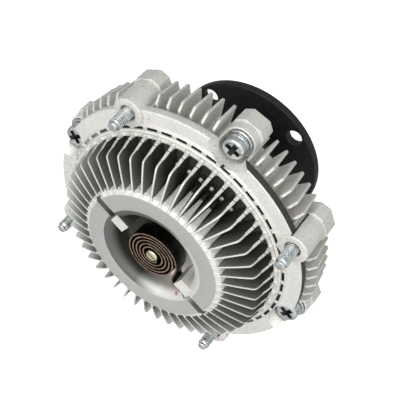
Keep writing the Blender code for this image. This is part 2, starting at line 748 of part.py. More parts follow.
def seal_rebate():
    """The step round the cover's back that makes room for the seal."""
    inner = COVER_RADIUS - CASE_SEAL_SECTION - CASE_SEAL_ROOM
    outer = COVER_RADIUS + CUT_OVERSHOOT
    front = COVER_BACK + CASE_SEAL_SECTION + GAP
    back = COVER_BACK - CUT_OVERSHOOT
    return [(inner, back), (outer, back), (outer, front), (inner, front)]


def cover_underside():
    """The reservoir behind the cover, with the pivot hub in its middle, and the plate's pocket."""
    dish = RIM_FRONT - COVER_WALL
    middle = RECESS_FLOOR - COVER_WALL
    return [
        (0.0, COVER_BACK - CUT_OVERSHOOT),
        (PLATE_POCKET_RADIUS, COVER_BACK - CUT_OVERSHOOT),
        (PLATE_POCKET_RADIUS, PLATE_FRONT + GAP),
        (CAVITY_RADIUS - COVER_WALL, PLATE_FRONT + GAP),
        (CAVITY_RADIUS - COVER_WALL, dish),
        (RECESS_RADIUS + COVER_WALL, dish),
        (RECESS_RADIUS - RECESS_FILLET, middle),
        (PIN_HUB_RADIUS, middle),
        (PIN_HUB_RADIUS, PIN_HUB_BACK),
        (0.0, PIN_HUB_BACK),
    ]


def front_fins():
    """Long fins from the boss to the rim, thin at their edge and thicker at their root."""

    def half(radius, height):
        depth = (COVER_FRONT - height) / (COVER_FRONT - RIM_FRONT)
        return (FRONT_FIN_EDGE + (FRONT_FIN_ROOT - FRONT_FIN_EDGE) * depth) / 2

    inside = COVER_BOSS_RADIUS - COVER_BOSS_SHOULDER
    outline = [
        (inside, COVER_FRONT - FRONT_FIN_START_DROP),
        (FRONT_FIN_TIP_RADIUS, COVER_FRONT - FRONT_FIN_TIP_DROP),
        (FRONT_FIN_HEEL_RADIUS, RIM_FRONT + FRONT_FIN_HEEL_HEIGHT),
        (FRONT_FIN_FOOT_RADIUS, RIM_FRONT - EMBEDDED),
        (inside, RIM_FRONT - EMBEDDED),
    ]
    bm = bmesh.new()
    for degrees in circle_angles(FRONT_FINS, 0.0):
        add_radial_plate(bm, outline, degrees, half)
    return placed("front_fin_blanks", bm, None)


def short_ribs():
    """Low gussets against the boss, one between each two fins, which run out to a point."""
    inside = COVER_BOSS_RADIUS - EMBEDDED
    back = DISH_FLOOR - 2 * EMBEDDED
    bm = bmesh.new()
    for degrees in circle_angles(FRONT_FINS, FULL_TURN / (2 * FRONT_FINS)):
        turn = Matrix.Rotation(math.radians(degrees), 3, "Z")
        corners = [
            (inside, -SHORT_RIB_THICKNESS, back),
            (inside, SHORT_RIB_THICKNESS, back),
            (inside, 0.0, DISH_FLOOR + SHORT_RIB_HEIGHT),
            (COVER_BOSS_RADIUS + SHORT_RIB_LENGTH, 0.0, back),
        ]
        points = [bm.verts.new(turn @ Vector(corner)) for corner in corners]
        for face in ((0, 1, 2), (0, 1, 3), (1, 2, 3), (2, 0, 3)):
            bm.faces.new([points[i] for i in face])
    return placed("short_rib_blanks", bm, None)


def lugs():
    """Two lugs in line with the sawn slots, which stand from the recess floor to near the front."""
    outline = rectangle(LUG_INNER_RADIUS, RECESS_RADIUS + EMBEDDED, LUG_WIDTH)
    bm = bmesh.new()
    for degrees in circle_angles(2, SLOT_ANGLE):
        add_extruded(bm, outline, RECESS_FLOOR - EMBEDDED, LUG_FRONT, degrees)
    return placed("lug_blanks", bm, None)


def boss_slots():
    """The slots sawn across the boss, and the slit in one lug that holds the coil's outer end."""
    across = rectangle(SLOT_INNER_RADIUS, COVER_BOSS_RADIUS + CUT_OVERSHOOT, SLOT_WIDTH)
    slit_width = COIL_STRIP_THICKNESS + 2 * GAP
    slit = rectangle(LUG_INNER_RADIUS - CUT_OVERSHOOT, LUG_INNER_RADIUS + COIL_TANG_REACH + GAP, slit_width)
    bm = bmesh.new()
    for degrees in circle_angles(2, SLOT_ANGLE):
        add_extruded(bm, across, COVER_FRONT - SLOT_DEPTH, COVER_FRONT + CUT_OVERSHOOT, degrees)
    add_extruded(bm, slit, COIL_BACK - GAP, COVER_FRONT + CUT_OVERSHOOT, SLOT_ANGLE)
    return placed("boss_slot_cutters", bm, None)


def build_front_cover(material, parent):
    """The finned front casting."""
    cover = turned("front_cover", cover_blank(), COVER_FACETS, material, parent)
    combine(cover, front_fins(), "UNION")
    combine(cover, short_ribs(), "UNION")
    combine(cover, turned("coil_recess_cutter", coil_recess(), RECESS_FACETS), "DIFFERENCE")
    combine(cover, lugs(), "UNION")
    combine(cover, turned("cover_underside_cutter", cover_underside(), INNER_FACETS), "DIFFERENCE")
    combine(cover, turned("seal_rebate_cutter", seal_rebate(), SEAL_FACETS), "DIFFERENCE")
    combine(cover, boss_slots(), "DIFFERENCE")
    bore = [
        (0.0, PIN_HUB_BACK - CUT_OVERSHOOT),
        (PIN_BORE_RADIUS, PIN_HUB_BACK - CUT_OVERSHOOT),
        (PIN_BORE_RADIUS, RECESS_FLOOR + CUT_OVERSHOOT),
        (0.0, RECESS_FLOOR + CUT_OVERSHOOT),
    ]
    return combine(cover, turned("pin_bore_cutter", bore, SMALL_FACETS), "DIFFERENCE")


def build_case_seal(material, parent):
    """The seal ring between the case's seat and the cover's rebate."""
    back = COVER_SEAT + GAP
    front = back + CASE_SEAL_SECTION
    inner = COVER_RADIUS - CASE_SEAL_SECTION
    outline = [(inner, back), (COVER_RADIUS, back), (COVER_RADIUS, front), (inner, front)]
    return turned("case_seal", outline, SEAL_FACETS, material, parent)


def build_partition_plate(material, parent):
    """The plate between the working chamber and the reservoir, with the port that the valve arm covers."""
    outline = [
        (0.0, PLATE_BACK),
        (PLATE_RADIUS, PLATE_BACK),
        (PLATE_RADIUS, PLATE_FRONT),
        (0.0, PLATE_FRONT),
    ]
    plate = turned("partition_plate", outline, INNER_FACETS, material, parent)
    port = [
        (0.0, PLATE_BACK - CUT_OVERSHOOT),
        (PORT_RADIUS, PLATE_BACK - CUT_OVERSHOOT),
        (PORT_RADIUS, PLATE_FRONT + CUT_OVERSHOOT),
        (0.0, PLATE_FRONT + CUT_OVERSHOOT),
    ]
    cutter = turned_at("port_cutter", port, SMALL_FACETS, PORT_CIRCLE, (PORT_ANGLE,))
    return combine(plate, cutter, "DIFFERENCE")


def build_pivot_pin(material, parent):
    """Riveted in the valve arm below, sealed in the cover, and slotted at its tip for the coil."""
    arm_back = PLATE_FRONT + GAP
    collar_back = arm_back + ARM_THICKNESS + GAP
    collar_front = collar_back + PIN_COLLAR_THICKNESS
    groove_front = PIN_GROOVE_BACK + PIN_SEAL_SECTION + 2 * GAP
    tip_back = RECESS_FLOOR + PIN_SHOULDER
    tip_front = tip_back + PIN_TIP_LENGTH
    outline = [
        (0.0, arm_back),
        (PIN_RIVET_RADIUS, arm_back),
        (PIN_RIVET_RADIUS, collar_back),
        (PIN_COLLAR_RADIUS, collar_back),
        (PIN_COLLAR_RADIUS, collar_front),
        (PIN_RADIUS, collar_front),
        (PIN_RADIUS, PIN_GROOVE_BACK),
        (PIN_RADIUS - PIN_SEAL_DEPTH, PIN_GROOVE_BACK),
        (PIN_RADIUS - PIN_SEAL_DEPTH, groove_front),
        (PIN_RADIUS, groove_front),
        (PIN_RADIUS, tip_back),
        (PIN_TIP_RADIUS, tip_back),
        (PIN_TIP_RADIUS, tip_front),
        (0.0, tip_front),
    ]
    pin = turned("pivot_pin", outline, SMALL_FACETS, material, parent)
    width = COIL_STRIP_THICKNESS + GAP
    reach = PIN_TIP_RADIUS + CUT_OVERSHOOT
    slot = extruded(
        "pin_slot_cutter",
        rectangle(-reach, reach, width),
        COIL_BACK - GAP,
        tip_front + CUT_OVERSHOOT,
        degrees=SLOT_ANGLE,
    )
    return combine(pin, slot, "DIFFERENCE")


def build_pivot_seal(material, parent):
    """The seal ring in the pin's groove."""
    back = PIN_GROOVE_BACK + GAP
    inner = PIN_RADIUS - PIN_SEAL_DEPTH + GAP / 2
    outer = PIN_RADIUS
    outline = [
        (inner, back),
        (outer, back),
        (outer, back + PIN_SEAL_SECTION),
        (inner, back + PIN_SEAL_SECTION),
    ]
    return turned("pivot_seal", outline, SMALL_FACETS, material, parent)


def build_valve_arm(material, parent):
    """A stamped arm from the pin to a round pad over the port."""
    back = PLATE_FRONT + GAP
    side = math.degrees(math.asin((ARM_HUB_RADIUS - ARM_PAD_RADIUS) / PORT_CIRCLE))
    hub = arc((0.0, 0.0), ARM_HUB_RADIUS, 90.0 - side, 270.0 + side, ARM_HUB_STEPS)
    pad = arc((PORT_CIRCLE, 0.0), ARM_PAD_RADIUS, -90.0 + side, 90.0 - side, ARM_PAD_STEPS)
    arm = extruded("valve_arm", hub + pad, back, back + ARM_THICKNESS, material, parent, PORT_ANGLE)
    bore = [
        (0.0, back - CUT_OVERSHOOT),
        (PIN_RIVET_RADIUS + GAP, back - CUT_OVERSHOOT),
        (PIN_RIVET_RADIUS + GAP, back + ARM_THICKNESS + CUT_OVERSHOOT),
        (0.0, back + ARM_THICKNESS + CUT_OVERSHOOT),
    ]
    return combine(arm, turned("valve_arm_cutter", bore, SMALL_FACETS), "DIFFERENCE")


def coil_path():
    """The middle line of the bimetal strip: through the pin's slot, round the turns, into the lug's slit."""
    turns = round((COIL_RADIUS - COIL_START_RADIUS) / COIL_PITCH)
    end_angle = FULL_TURN * turns + COIL_END_ANGLE
    pitch = (COIL_RADIUS - COIL_START_RADIUS) / ((end_angle - SLOT_ANGLE) / FULL_TURN)
    points = [
        polar(-PIN_TIP_RADIUS + GAP, SLOT_ANGLE),
        polar(PIN_TIP_RADIUS - GAP, SLOT_ANGLE),
        polar(COIL_START_RADIUS - 2 * GAP, SLOT_ANGLE + COIL_HOOK_ANGLE),
    ]
    first = SLOT_ANGLE + COIL_LEAD_IN_ANGLE
    steps = round((end_angle - first) / FULL_TURN * COIL_STEPS_PER_TURN)
    for i in range(steps + 1):
        degrees = first + (end_angle - first) * i / steps
        radius = COIL_START_RADIUS + pitch * (degrees - SLOT_ANGLE) / FULL_TURN
        points.append(polar(radius, degrees))
    for i in range(1, COIL_TANG_STEPS + 1):
        share = i / COIL_TANG_STEPS
        radius = COIL_RADIUS + (LUG_INNER_RADIUS - COIL_RADIUS) * share**2
        points.append(polar(radius, COIL_END_ANGLE + (SLOT_ANGLE - COIL_END_ANGLE) * share))
    points.append(polar(LUG_INNER_RADIUS + COIL_TANG_REACH, SLOT_ANGLE))
    return points


def build_bimetal_coil(material, parent):
    """The strip on edge along its path, one body."""
    points = coil_path()
    left = []
    right = []
    for index, point in enumerate(points):
        before = points[max(index - 1, 0)]
        after = points[min(index + 1, len(points) - 1)]
        along = (after - before).normalized()
        across = Vector((-along.y, along.x, 0.0)) * COIL_STRIP_THICKNESS / 2
        left.append(point + across)
        right.append(point - across)
    bm = bmesh.new()
    rows = []
    for a, b in zip(left, right):
        corners = ((a, COIL_BACK), (b, COIL_BACK), (b, COIL_FRONT), (a, COIL_FRONT))
        rows.append([bm.verts.new((p.x, p.y, height)) for p, height in corners])
    for row, after in zip(rows, rows[1:]):
        for i in range(4):
            j = (i + 1) % 4
            bm.faces.new((row[i], row[j], after[j], after[i]))
    bm.faces.new(rows[0])
    bm.faces.new(rows[-1])
    return placed("bimetal_coil", bm, material, parent)


def build_fan_studs(material, parent):
    """Studs screwed into their bosses from the front."""
    bottom = STUD_BOSS_FRONT - STUD_DEPTH
    tip = STUD_BOSS_FRONT + STUD_LENGTH
    outline = [
        (0.0, bottom),
        (THREAD_RADIUS, bottom),
        (THREAD_RADIUS, tip - THREAD_TIP),
        (THREAD_RADIUS - THREAD_TIP, tip),
        (0.0, tip),
    ]
    stud = turned("fan_stud", outline, SMALL_FACETS, material)
    add_copies("fan_stud", stud, BOSS_CIRCLE, circle_angles(BOSS_PAIRS, STUD_ANGLE), 0.0, parent)


def build_fan_screws(material, parent):
    """Pan head screws over a spring washer and a flat washer."""
    flat_back = SCREW_BOSS_FRONT + GAP
    spring_back = flat_back + FLAT_WASHER_THICKNESS + GAP
    head_back = spring_back + SPRING_WASHER_THICKNESS + GAP
    head_front = head_back + SCREW_HEAD_HEIGHT
    angles = circle_angles(BOSS_PAIRS, SCREW_ANGLE)

    flat = [
        (THREAD_HOLE_RADIUS, flat_back),
        (FLAT_WASHER_RADIUS, flat_back),
        (FLAT_WASHER_RADIUS, flat_back + FLAT_WASHER_THICKNESS),
        (THREAD_HOLE_RADIUS, flat_back + FLAT_WASHER_THICKNESS),
    ]
    washer = turned("flat_washer", flat, SMALL_FACETS, material)
    add_copies("flat_washer", washer, BOSS_CIRCLE, angles, 0.0, parent)

    half_slit = SPRING_WASHER_SLIT_ANGLE / 2
    outer = arc((0.0, 0.0), SPRING_WASHER_RADIUS, half_slit, FULL_TURN - half_slit, SMALL_FACETS - 1)
    inner = arc((0.0, 0.0), THREAD_HOLE_RADIUS, FULL_TURN - half_slit, half_slit, SMALL_FACETS - 1)
    spring_front = spring_back + SPRING_WASHER_THICKNESS
    spring = extruded("spring_washer", outer + inner, spring_back, spring_front, material)
    add_copies("spring_washer", spring, BOSS_CIRCLE, angles, 0.0, parent)

    outline = [
        (0.0, SCREW_BOSS_FRONT - SCREW_DEPTH),
        (THREAD_RADIUS, SCREW_BOSS_FRONT - SCREW_DEPTH),
        (THREAD_RADIUS, head_back),
        (SCREW_HEAD_RADIUS, head_back),
        (SCREW_HEAD_RADIUS, head_back + SCREW_HEAD_SIDE),
        (SCREW_HEAD_TOP, head_front),
        (0.0, head_front),
    ]
    screw = turned("fan_screw", outline, SMALL_FACETS, material)
    add_copies("fan_screw", screw, BOSS_CIRCLE, angles, 0.0, parent)


def build():
    for obj in list(bpy.data.objects):
        bpy.data.objects.remove(obj)
    aluminium = plain_material("cast_aluminium", (0.56, 0.55, 0.53), 0.85, 0.5)
    black = plain_material("black_steel", (0.012, 0.013, 0.014), 0.5, 0.45)
    machined = plain_material("machined_aluminium", (0.62, 0.62, 0.63), 0.9, 0.3)
    zinc = plain_material("zinc_plated_steel", (0.6, 0.63, 0.66), 1.0, 0.22)
    steel = plain_material("bearing_steel", (0.5, 0.5, 0.51), 1.0, 0.2)
    bimetal = plain_material("bimetal", (0.32, 0.23, 0.17), 0.9, 0.35)
    brass = plain_material("brass", (0.62, 0.52, 0.3), 1.0, 0.3)
    rubber = plain_material("black_rubber", (0.02, 0.02, 0.02), 0.0, 0.7)

    drive = add_axis("drive_axis")
    cage_axis = add_axis("cage_axis", drive)
    housing = add_axis("housing_axis", drive)
    valve = add_axis("valve_axis", housing)

    build_flanged_shaft(black, drive)
    build_rotor(machined, drive)
    build_bearing(steel, rubber, brass, drive, housing, cage_axis)
    build_snap_ring(steel, housing)
    build_rear_case(aluminium, housing)
    build_front_cover(aluminium, housing)
    build_case_seal(rubber, housing)
    build_partition_plate(machined, housing)
    build_pivot_pin(brass, valve)
    build_pivot_seal(rubber, valve)
    build_valve_arm(steel, valve)
    build_bimetal_coil(bimetal, housing)
    build_fan_studs(zinc, housing)
    build_fan_screws(zinc, housing)


build()
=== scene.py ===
"""The looks of a viscous fan clutch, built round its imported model.

Outlines are written in millimetres; meshes are scaled to metres when they are made.
Angles are in degrees about Z, from +X. The front of the clutch, with its coil, is up.
"""

import math

import bmesh
import bpy
from mathutils import Matrix, Quaternion, Vector


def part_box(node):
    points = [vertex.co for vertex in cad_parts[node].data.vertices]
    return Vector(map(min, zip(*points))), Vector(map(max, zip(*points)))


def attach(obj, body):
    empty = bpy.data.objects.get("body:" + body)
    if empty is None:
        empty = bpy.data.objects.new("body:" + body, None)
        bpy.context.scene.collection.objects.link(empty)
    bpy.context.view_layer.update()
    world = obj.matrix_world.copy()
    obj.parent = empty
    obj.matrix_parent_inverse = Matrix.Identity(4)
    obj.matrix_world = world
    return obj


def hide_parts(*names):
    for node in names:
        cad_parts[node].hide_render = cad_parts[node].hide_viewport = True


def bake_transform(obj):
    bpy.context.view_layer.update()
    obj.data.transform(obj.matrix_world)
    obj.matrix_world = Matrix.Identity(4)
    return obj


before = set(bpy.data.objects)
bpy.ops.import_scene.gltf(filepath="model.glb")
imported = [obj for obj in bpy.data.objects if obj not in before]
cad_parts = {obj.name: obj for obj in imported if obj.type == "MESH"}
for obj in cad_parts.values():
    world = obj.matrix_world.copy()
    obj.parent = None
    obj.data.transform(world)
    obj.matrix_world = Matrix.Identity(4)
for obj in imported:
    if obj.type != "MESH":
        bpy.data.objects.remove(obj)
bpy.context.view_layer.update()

MM = 0.001
FULL_TURN = 360.0
QUARTER_TURN = 90.0
SHARP_ANGLE = 32.0
WELD = 0.004 * MM


def level(node, end):
    """A height of the frame in millimetres: end is 0 for a node's lowest point, 1 for its highest."""
    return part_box(node)[end].z / MM


# Levels along the axis that the frame gives
HUB_BACK = level("rear_case", 0)
STUD_BOSS_FRONT = level("rear_case", 1)
COVER_BACK = level("front_cover", 0)
COVER_FRONT = level("front_cover", 1)
SHAFT_FRONT = level("flanged_shaft", 1)
COIL_BACK = level("bimetal_coil", 0)
COIL_FRONT = level("bimetal_coil", 1)
PIN_BACK = level("pivot_pin", 0)
PIN_FRONT = level("pivot_pin", 1)
STUD_BACK = level("fan_stud_1", 0)
STUD_FRONT = level("fan_stud_1", 1)
SCREW_BACK = level("fan_screw_1", 0)
SCREW_FRONT = level("fan_screw_1", 1)
BOSS_CIRCLE = (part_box("fan_screw_1")[0].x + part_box("fan_screw_1")[1].x) / 2 / MM

# Fineness of round pieces, in segments of a full turn
BODY_SEGMENTS = 192
RING_SEGMENTS = 96
SMALL_SEGMENTS = 48
THREAD_SEGMENTS = 28

# Front cover
COVER_RADIUS = 57.0
COVER_BOSS_RADIUS = 37.5
COVER_BOSS_EDGE = 34.9
RIM_BACK = 66.4
SPIGOT_RADIUS = 54.8
SPIGOT_BORE = 52.8
PLATE_SEAT = 65.9
RESERVOIR_RADIUS = 48.5
RESERVOIR_FRONT = 68.0
CROWN_INSIDE = 74.5
PIN_BOSS_RADIUS = 8.0
PIN_BOSS_BACK = 71.2
RECESS_RADIUS = 21.4
RECESS_ROUND = 5.0
RECESS_FLOOR = 77.5
SLOT_ANGLE = -14.3
SLOT_INNER = 25.2
SLOT_OUTER = 36.6
SLOT_WIDTH = 4.0
SLOT_DEPTH = 2.7
PIN_BORE = 3.75
COIL_LUG = SLOT_ANGLE + 180.0
DAB_PLACE = (-19.5, 12.05, 88.6)
FRONT_FINS = 48
HALF_FIN_PITCH = FULL_TURN / FRONT_FINS / 2
FIN_EDGE = 1.0
FIN_ROOT = 1.8
FIN_FILLET = 1.0
RIM_LEVEL = 71.0

# Rear case
HUB_RADIUS = 30.0
WALL_RADIUS = 60.0
RING_BACK = 65.2
RING_FRONT = 69.4
RING_RADIUS = 66.6
STAKED_EDGE_FRONT = 70.4
COVER_SEAT = 64.3
CAVITY_RADIUS = 51.5
CAVITY_BACK = 52.5
SHAFT_PASSAGE = 20.5
BEARING_STOP = 42.3
BEARING_BORE = 23.8
SNAP_GROOVE_RADIUS = 25.0
SNAP_GROOVE_BACK = 26.4
SNAP_GROOVE_FRONT = 28.0
BOSS_PAIRS = 4
BOSS_RADIUS = 7.4
STUD_ANGLE = 45.0
SCREW_ANGLE = 0.0
SCREW_LIFT = 1.2
SCREW_SEAT = 57.5 + SCREW_LIFT
SCOOP_BACK = 65.0
SCOOP_RADIUS = 6.7
SCOOP_NARROWING = 0.15
SCOOP_SPREAD = 0.55
STAKE_INNER = 57.2
STAKE_OUTER = 58.55
STAKE_LENGTH = 5.2
STAKE_SHIFT = 0.9
FIN_FOOT = 57.5
REAR_FIN_THICKNESS = 1.36
REAR_FIN_PITCH = 5.0
REAR_FINS_TALL = 6
REAR_FIN_SHORT = 15.75

# Flange and shaft
FLANGE_RADIUS = 40.0
PILOT_RADIUS = 11.0
PILOT_DEPTH = 9.0
NECK_RADIUS = 14.5
BEARING_SEAT = 9.7
ROTOR_SEAT = 8.0
FLANGE_HOLES = 4
FLANGE_HOLE_RADIUS = 4.1
FLANGE_HOLE_CIRCLE = 34.0
FLANGE_HOLE_ANGLE = 63.1
FLANGE_THICKNESS = 4.1

# Fasteners, M6 by 1
THREAD_RADIUS = 3.0
THREAD_CORE = 2.45
THREAD_PITCH = 1.0
THREAD_CHAMFER = 0.6
BORE_RADIUS = 3.3
HEAD_RADIUS = 5.3
FLAT_WASHER_RADIUS = 6.3
SPRING_WASHER_RADIUS = 5.4

# Coil and pin
COIL_TURNS = 5
COIL_INNER = 4.0
COIL_OUTER = 13.3
STRIP_THICKNESS = 0.84
PIN_RADIUS = 3.5
PIN_TIP_RADIUS = 3.0

# Camera, fitted to the photograph
CAMERA_PLACE = Vector((-23.16, -353.97, 316.75)) * MM
CAMERA_HEADING = 86.22
CAMERA_DIP = 37.27
CAMERA_ROLL = -138.05
CAMERA_LENS = 82.55
SENSOR_WIDTH = 36.0

# Kinds of nodes that the materials use, and what several of them share. Where sockets are numbered,
# a range maps 0 from between 1 and 2 to between 3 and 4, and a mix gives colour 6 or 7 by its share 0.
NOISE = "ShaderNodeTexNoise"
WAVE = "ShaderNodeTexWave"
RANGE = "ShaderNodeMapRange"
MIX = "ShaderNodeMix"
BUMP = "ShaderNodeBump"
VECTORS = "ShaderNodeVectorMath"
COLOURS = {"data_type": "RGBA"}
RINGS = {"wave_type": "RINGS", "rings_direction": "Z"}
SOFT = {"Detail": 3.0, "Roughness": 0.55}
SANDY = {"Detail": 2.0, "Roughness": 0.7}
# The start and end of a range, between which nearly all of a noise's values lie
MIDDLE = {1: 0.3, 2: 0.7}
# The grain of the blasted castings, in millimetres, coarser than the real one so that it shows
BLAST_GRAIN = 0.55


def add(tree, kind, inputs=None, **settings):
    """Adds a node; inputs maps a socket's name or place to a value or to another node's socket."""
    node = tree.nodes.new(kind)
    for name, value in settings.items():
        setattr(node, name, value)
    for key, value in (inputs or {}).items():
        if isinstance(value, bpy.types.NodeSocket):
            tree.links.new(value, node.inputs[key])
        else:
            node.inputs[key].default_value = value
    return node


def linear(code):
    """A linear colour from an sRGB hex value."""
    channels = [int(code[i : i + 2], 16) / 255 for i in (1, 3, 5)]
    return (*[c / 12.92 if c <= 0.04045 else ((c + 0.055) / 1.055) ** 2.4 for c in channels], 1.0)


def per_mm(size):
    """The scale of a texture whose features are this many millimetres apart."""
    return 1.0 / (size * MM)


def new_material(name, metallic, **fixed):
    """A material's tree, its Principled shader and its Object coordinates."""
    material = bpy.data.materials.new(name)
    material.use_nodes = True
    tree = material.node_tree
    tree.nodes.clear()
    shader = add(tree, "ShaderNodeBsdfPrincipled", {"Metallic": metallic, **fixed})
    add(tree, "ShaderNodeOutputMaterial", {"Surface": shader.outputs["BSDF"]})
    place = add(tree, "ShaderNodeTexCoord").outputs["Object"]
    return material, tree, shader, place


def linked(tree, shader, **outputs):
    """Links outputs to the shader's sockets; a name's underscores stand for spaces."""
    for name, output in outputs.items():
        tree.links.new(output, shader.inputs[name.replace("_", " ")])


def cast_aluminium():
    """Die-cast and shot-blasted aluminium: matt, pale and sandy, with a few pits."""
    material, tree, shader, place = new_material("cast_aluminium", 0.85)
    cloud = add(tree, NOISE, {"Vector": place, "Scale": per_mm(9.0), **SOFT}).outputs[0]
    grain = add(tree, NOISE, {"Vector": place, "Scale": per_mm(BLAST_GRAIN), **SANDY}).outputs[0]
    cells = add(tree, "ShaderNodeTexVoronoi", {"Vector": place, "Scale": per_mm(4.5), "Randomness": 1.0})
    pit = add(tree, RANGE, {0: cells.outputs["Distance"], 1: 0.03, 2: 0.11}).outputs[0]
    patches = add(tree, RANGE, {0: cloud, **MIDDLE}).outputs[0]
    body = add(tree, MIX, {0: patches, 6: linear("#CFCEC9"), 7: linear("#E2E1DD")}, **COLOURS).outputs[2]
    sand = add(tree, RANGE, {0: grain, **MIDDLE}).outputs[0]
    sandy = add(tree, MIX, {0: sand, 6: linear("#AFAEA8"), 7: linear("#F6F5F2")}, **COLOURS).outputs[2]
    colour = add(tree, MIX, {0: 0.55, 6: body, 7: sandy}, **COLOURS).outputs[2]
    colour = add(tree, MIX, {0: pit, 6: linear("#6B6A66"), 7: colour}, **COLOURS).outputs[2]
    rough = add(tree, RANGE, {0: grain, **MIDDLE, 3: 0.6, 4: 0.78}).outputs[0]
    fine = add(tree, BUMP, {"Height": grain, "Distance": 0.12 * MM, "Strength": 0.6}).outputs[0]
    pitted = {"Height": pit, "Distance": 0.2 * MM, "Strength": 0.5, "Normal": fine}
    linked(tree, shader, Base_Color=colour, Roughness=rough, Normal=add(tree, BUMP, pitted).outputs[0])
    return material


def painted_shade_material():
    """The same casting with painted shade for its hollows: darker the deeper it lies.

    The outer ends of the fins get painted light on one side, and the recess of the coil gets painted
    light towards one lug, with a tester's dab of paint beside it.
    """
    material, tree, shader, place = new_material("cast_aluminium_painted_shade", 0.6)
    grain = add(tree, NOISE, {"Vector": place, "Scale": per_mm(BLAST_GRAIN), **SANDY}).outputs[0]
    axes = add(tree, "ShaderNodeSeparateXYZ", {0: place}).outputs
    flat = add(tree, VECTORS, {0: place, 1: (1.0, 1.0, 0.0)}, operation="MULTIPLY").outputs[0]
    radius = add(tree, VECTORS, {0: flat}, operation="LENGTH").outputs["Value"]

    # Painted shade by depth: 1 in the recess of the coil, 0 among the fins; both start from their own
    # darkest level
    inside = add(tree, RANGE, {0: radius, 1: 27.0 * MM, 2: 30.0 * MM, 3: 1.0, 4: 0.0}).outputs[0]
    darkest = add(tree, RANGE, {0: inside, 1: 0.0, 2: 1.0, 3: 79.0 * MM, 4: 85.0 * MM}).outputs[0]
    depth = add(tree, RANGE, {0: axes["Z"], 1: darkest, 2: 90.0 * MM}).outputs[0]
    deep = add(tree, MIX, {0: grain, 6: linear("#34332F"), 7: linear("#504F4A")}, **COLOURS).outputs[2]
    outer = add(tree, MIX, {0: grain, 6: linear("#777670"), 7: linear("#9C9B95")}, **COLOURS).outputs[2]
    inner = add(tree, MIX, {0: grain, 6: linear("#565755"), 7: linear("#727370")}, **COLOURS).outputs[2]
    high = add(tree, MIX, {0: inside, 6: outer, 7: inner}, **COLOURS).outputs[2]
    colour = add(tree, MIX, {0: depth, 6: deep, 7: high}, **COLOURS).outputs[2]

    # Painted light on the outer ends of the fins, on the side that this direction points to
    toward = add(tree, VECTORS, {0: place, 1: (0.3, 0.95, 0.0)}, operation="DOT_PRODUCT").outputs["Value"]
    one_side = add(tree, RANGE, {0: toward, 1: -12.0 * MM, 2: 25.0 * MM}).outputs[0]
    fin_end = add(tree, RANGE, {0: radius, 1: 40.0 * MM, 2: 51.0 * MM}).outputs[0]
    painted_light_share = add(tree, "ShaderNodeMath", {0: one_side, 1: fin_end}, operation="MULTIPLY").outputs[0]
    painted_light_colour = add(tree, MIX, {0: grain, 6: linear("#D2D3D0"), 7: linear("#F0F1EE")}, **COLOURS).outputs[2]
    colour = add(tree, MIX, {0: painted_light_share, 6: colour, 7: painted_light_colour}, **COLOURS).outputs[2]

    # Painted light on the side of the recess by the lug that holds the coil
    by_lug = add(tree, RANGE, {0: axes["X"], 1: -12.0 * MM, 2: 0.0, 3: 0.95, 4: 0.0}).outputs[0]
    share = add(tree, "ShaderNodeMath", {0: inside, 1: by_lug}, operation="MULTIPLY").outputs[0]
    colour = add(tree, MIX, {0: share, 6: colour, 7: linear("#CFCEC8")}, **COLOURS).outputs[2]

    # The dab, with an edge that the grain makes uneven
    from_dab = {0: place, 1: Vector(DAB_PLACE) * MM}
    distance = add(tree, VECTORS, from_dab, operation="DISTANCE").outputs["Value"]
    uneven = {0: grain, 1: 0.6 * MM, 2: distance}
    edge = add(tree, "ShaderNodeMath", uneven, operation="MULTIPLY_ADD").outputs[0]
    dab = add(tree, RANGE, {0: edge, 1: 1.0 * MM, 2: 1.6 * MM, 3: 0.85, 4: 0.0}).outputs[0]
    colour = add(tree, MIX, {0: dab, 6: colour, 7: linear("#C0409A")}, **COLOURS).outputs[2]
    rough = add(tree, RANGE, {0: grain, **MIDDLE, 3: 0.5, 4: 0.65}).outputs[0]
    normal = add(tree, BUMP, {"Height": grain, "Distance": 0.1 * MM, "Strength": 0.5}).outputs[0]
    linked(tree, shader, Base_Color=colour, Roughness=rough, Normal=normal)
    return material


def machined_aluminium():
    """Turned aluminium: brighter and smoother than the casting, with the tool's rings round the axis."""
    material, tree, shader, place = new_material("machined_aluminium", 0.9)
    turned = {"Vector": place, "Scale": per_mm(0.9), "Distortion": 0.4}
    rings = add(tree, WAVE, turned, **RINGS).outputs["Fac"]
    colour = add(tree, MIX, {0: rings, 6: linear("#C8C9C6"), 7: linear("#D8D8D5")}, **COLOURS).outputs[2]
    cloud = add(tree, NOISE, {"Vector": place, "Scale": per_mm(3.0), **SOFT}).outputs[0]
    rough = add(tree, RANGE, {0: cloud, **MIDDLE, 3: 0.26, 4: 0.4}).outputs[0]
    normal = add(tree, BUMP, {"Height": rings, "Distance": 0.03 * MM, "Strength": 0.5}).outputs[0]
    linked(tree, shader, Base_Color=colour, Roughness=rough, Normal=normal)
    return material


def black_steel():
    """Phosphated and oiled steel: nearly black, with a soft sheen and a faint mottle."""
    material, tree, shader, place = new_material("black_steel", 0.35)
    mottle = add(tree, NOISE, {"Vector": place, "Scale": per_mm(2.5), **SOFT}).outputs[0]
    patches = add(tree, RANGE, {0: mottle, **MIDDLE}).outputs[0]
    colour = add(tree, MIX, {0: patches, 6: linear("#121314"), 7: linear("#222527")}, **COLOURS).outputs[2]
    fine = add(tree, NOISE, {"Vector": place, "Scale": per_mm(0.8), **SOFT}).outputs[0]
    rough = add(tree, RANGE, {0: fine, **MIDDLE, 3: 0.38, 4: 0.55}).outputs[0]
    normal = add(tree, BUMP, {"Height": mottle, "Distance": 0.05 * MM, "Strength": 0.4}).outputs[0]
    linked(tree, shader, Base_Color=colour, Roughness=rough, Normal=normal)
    return material


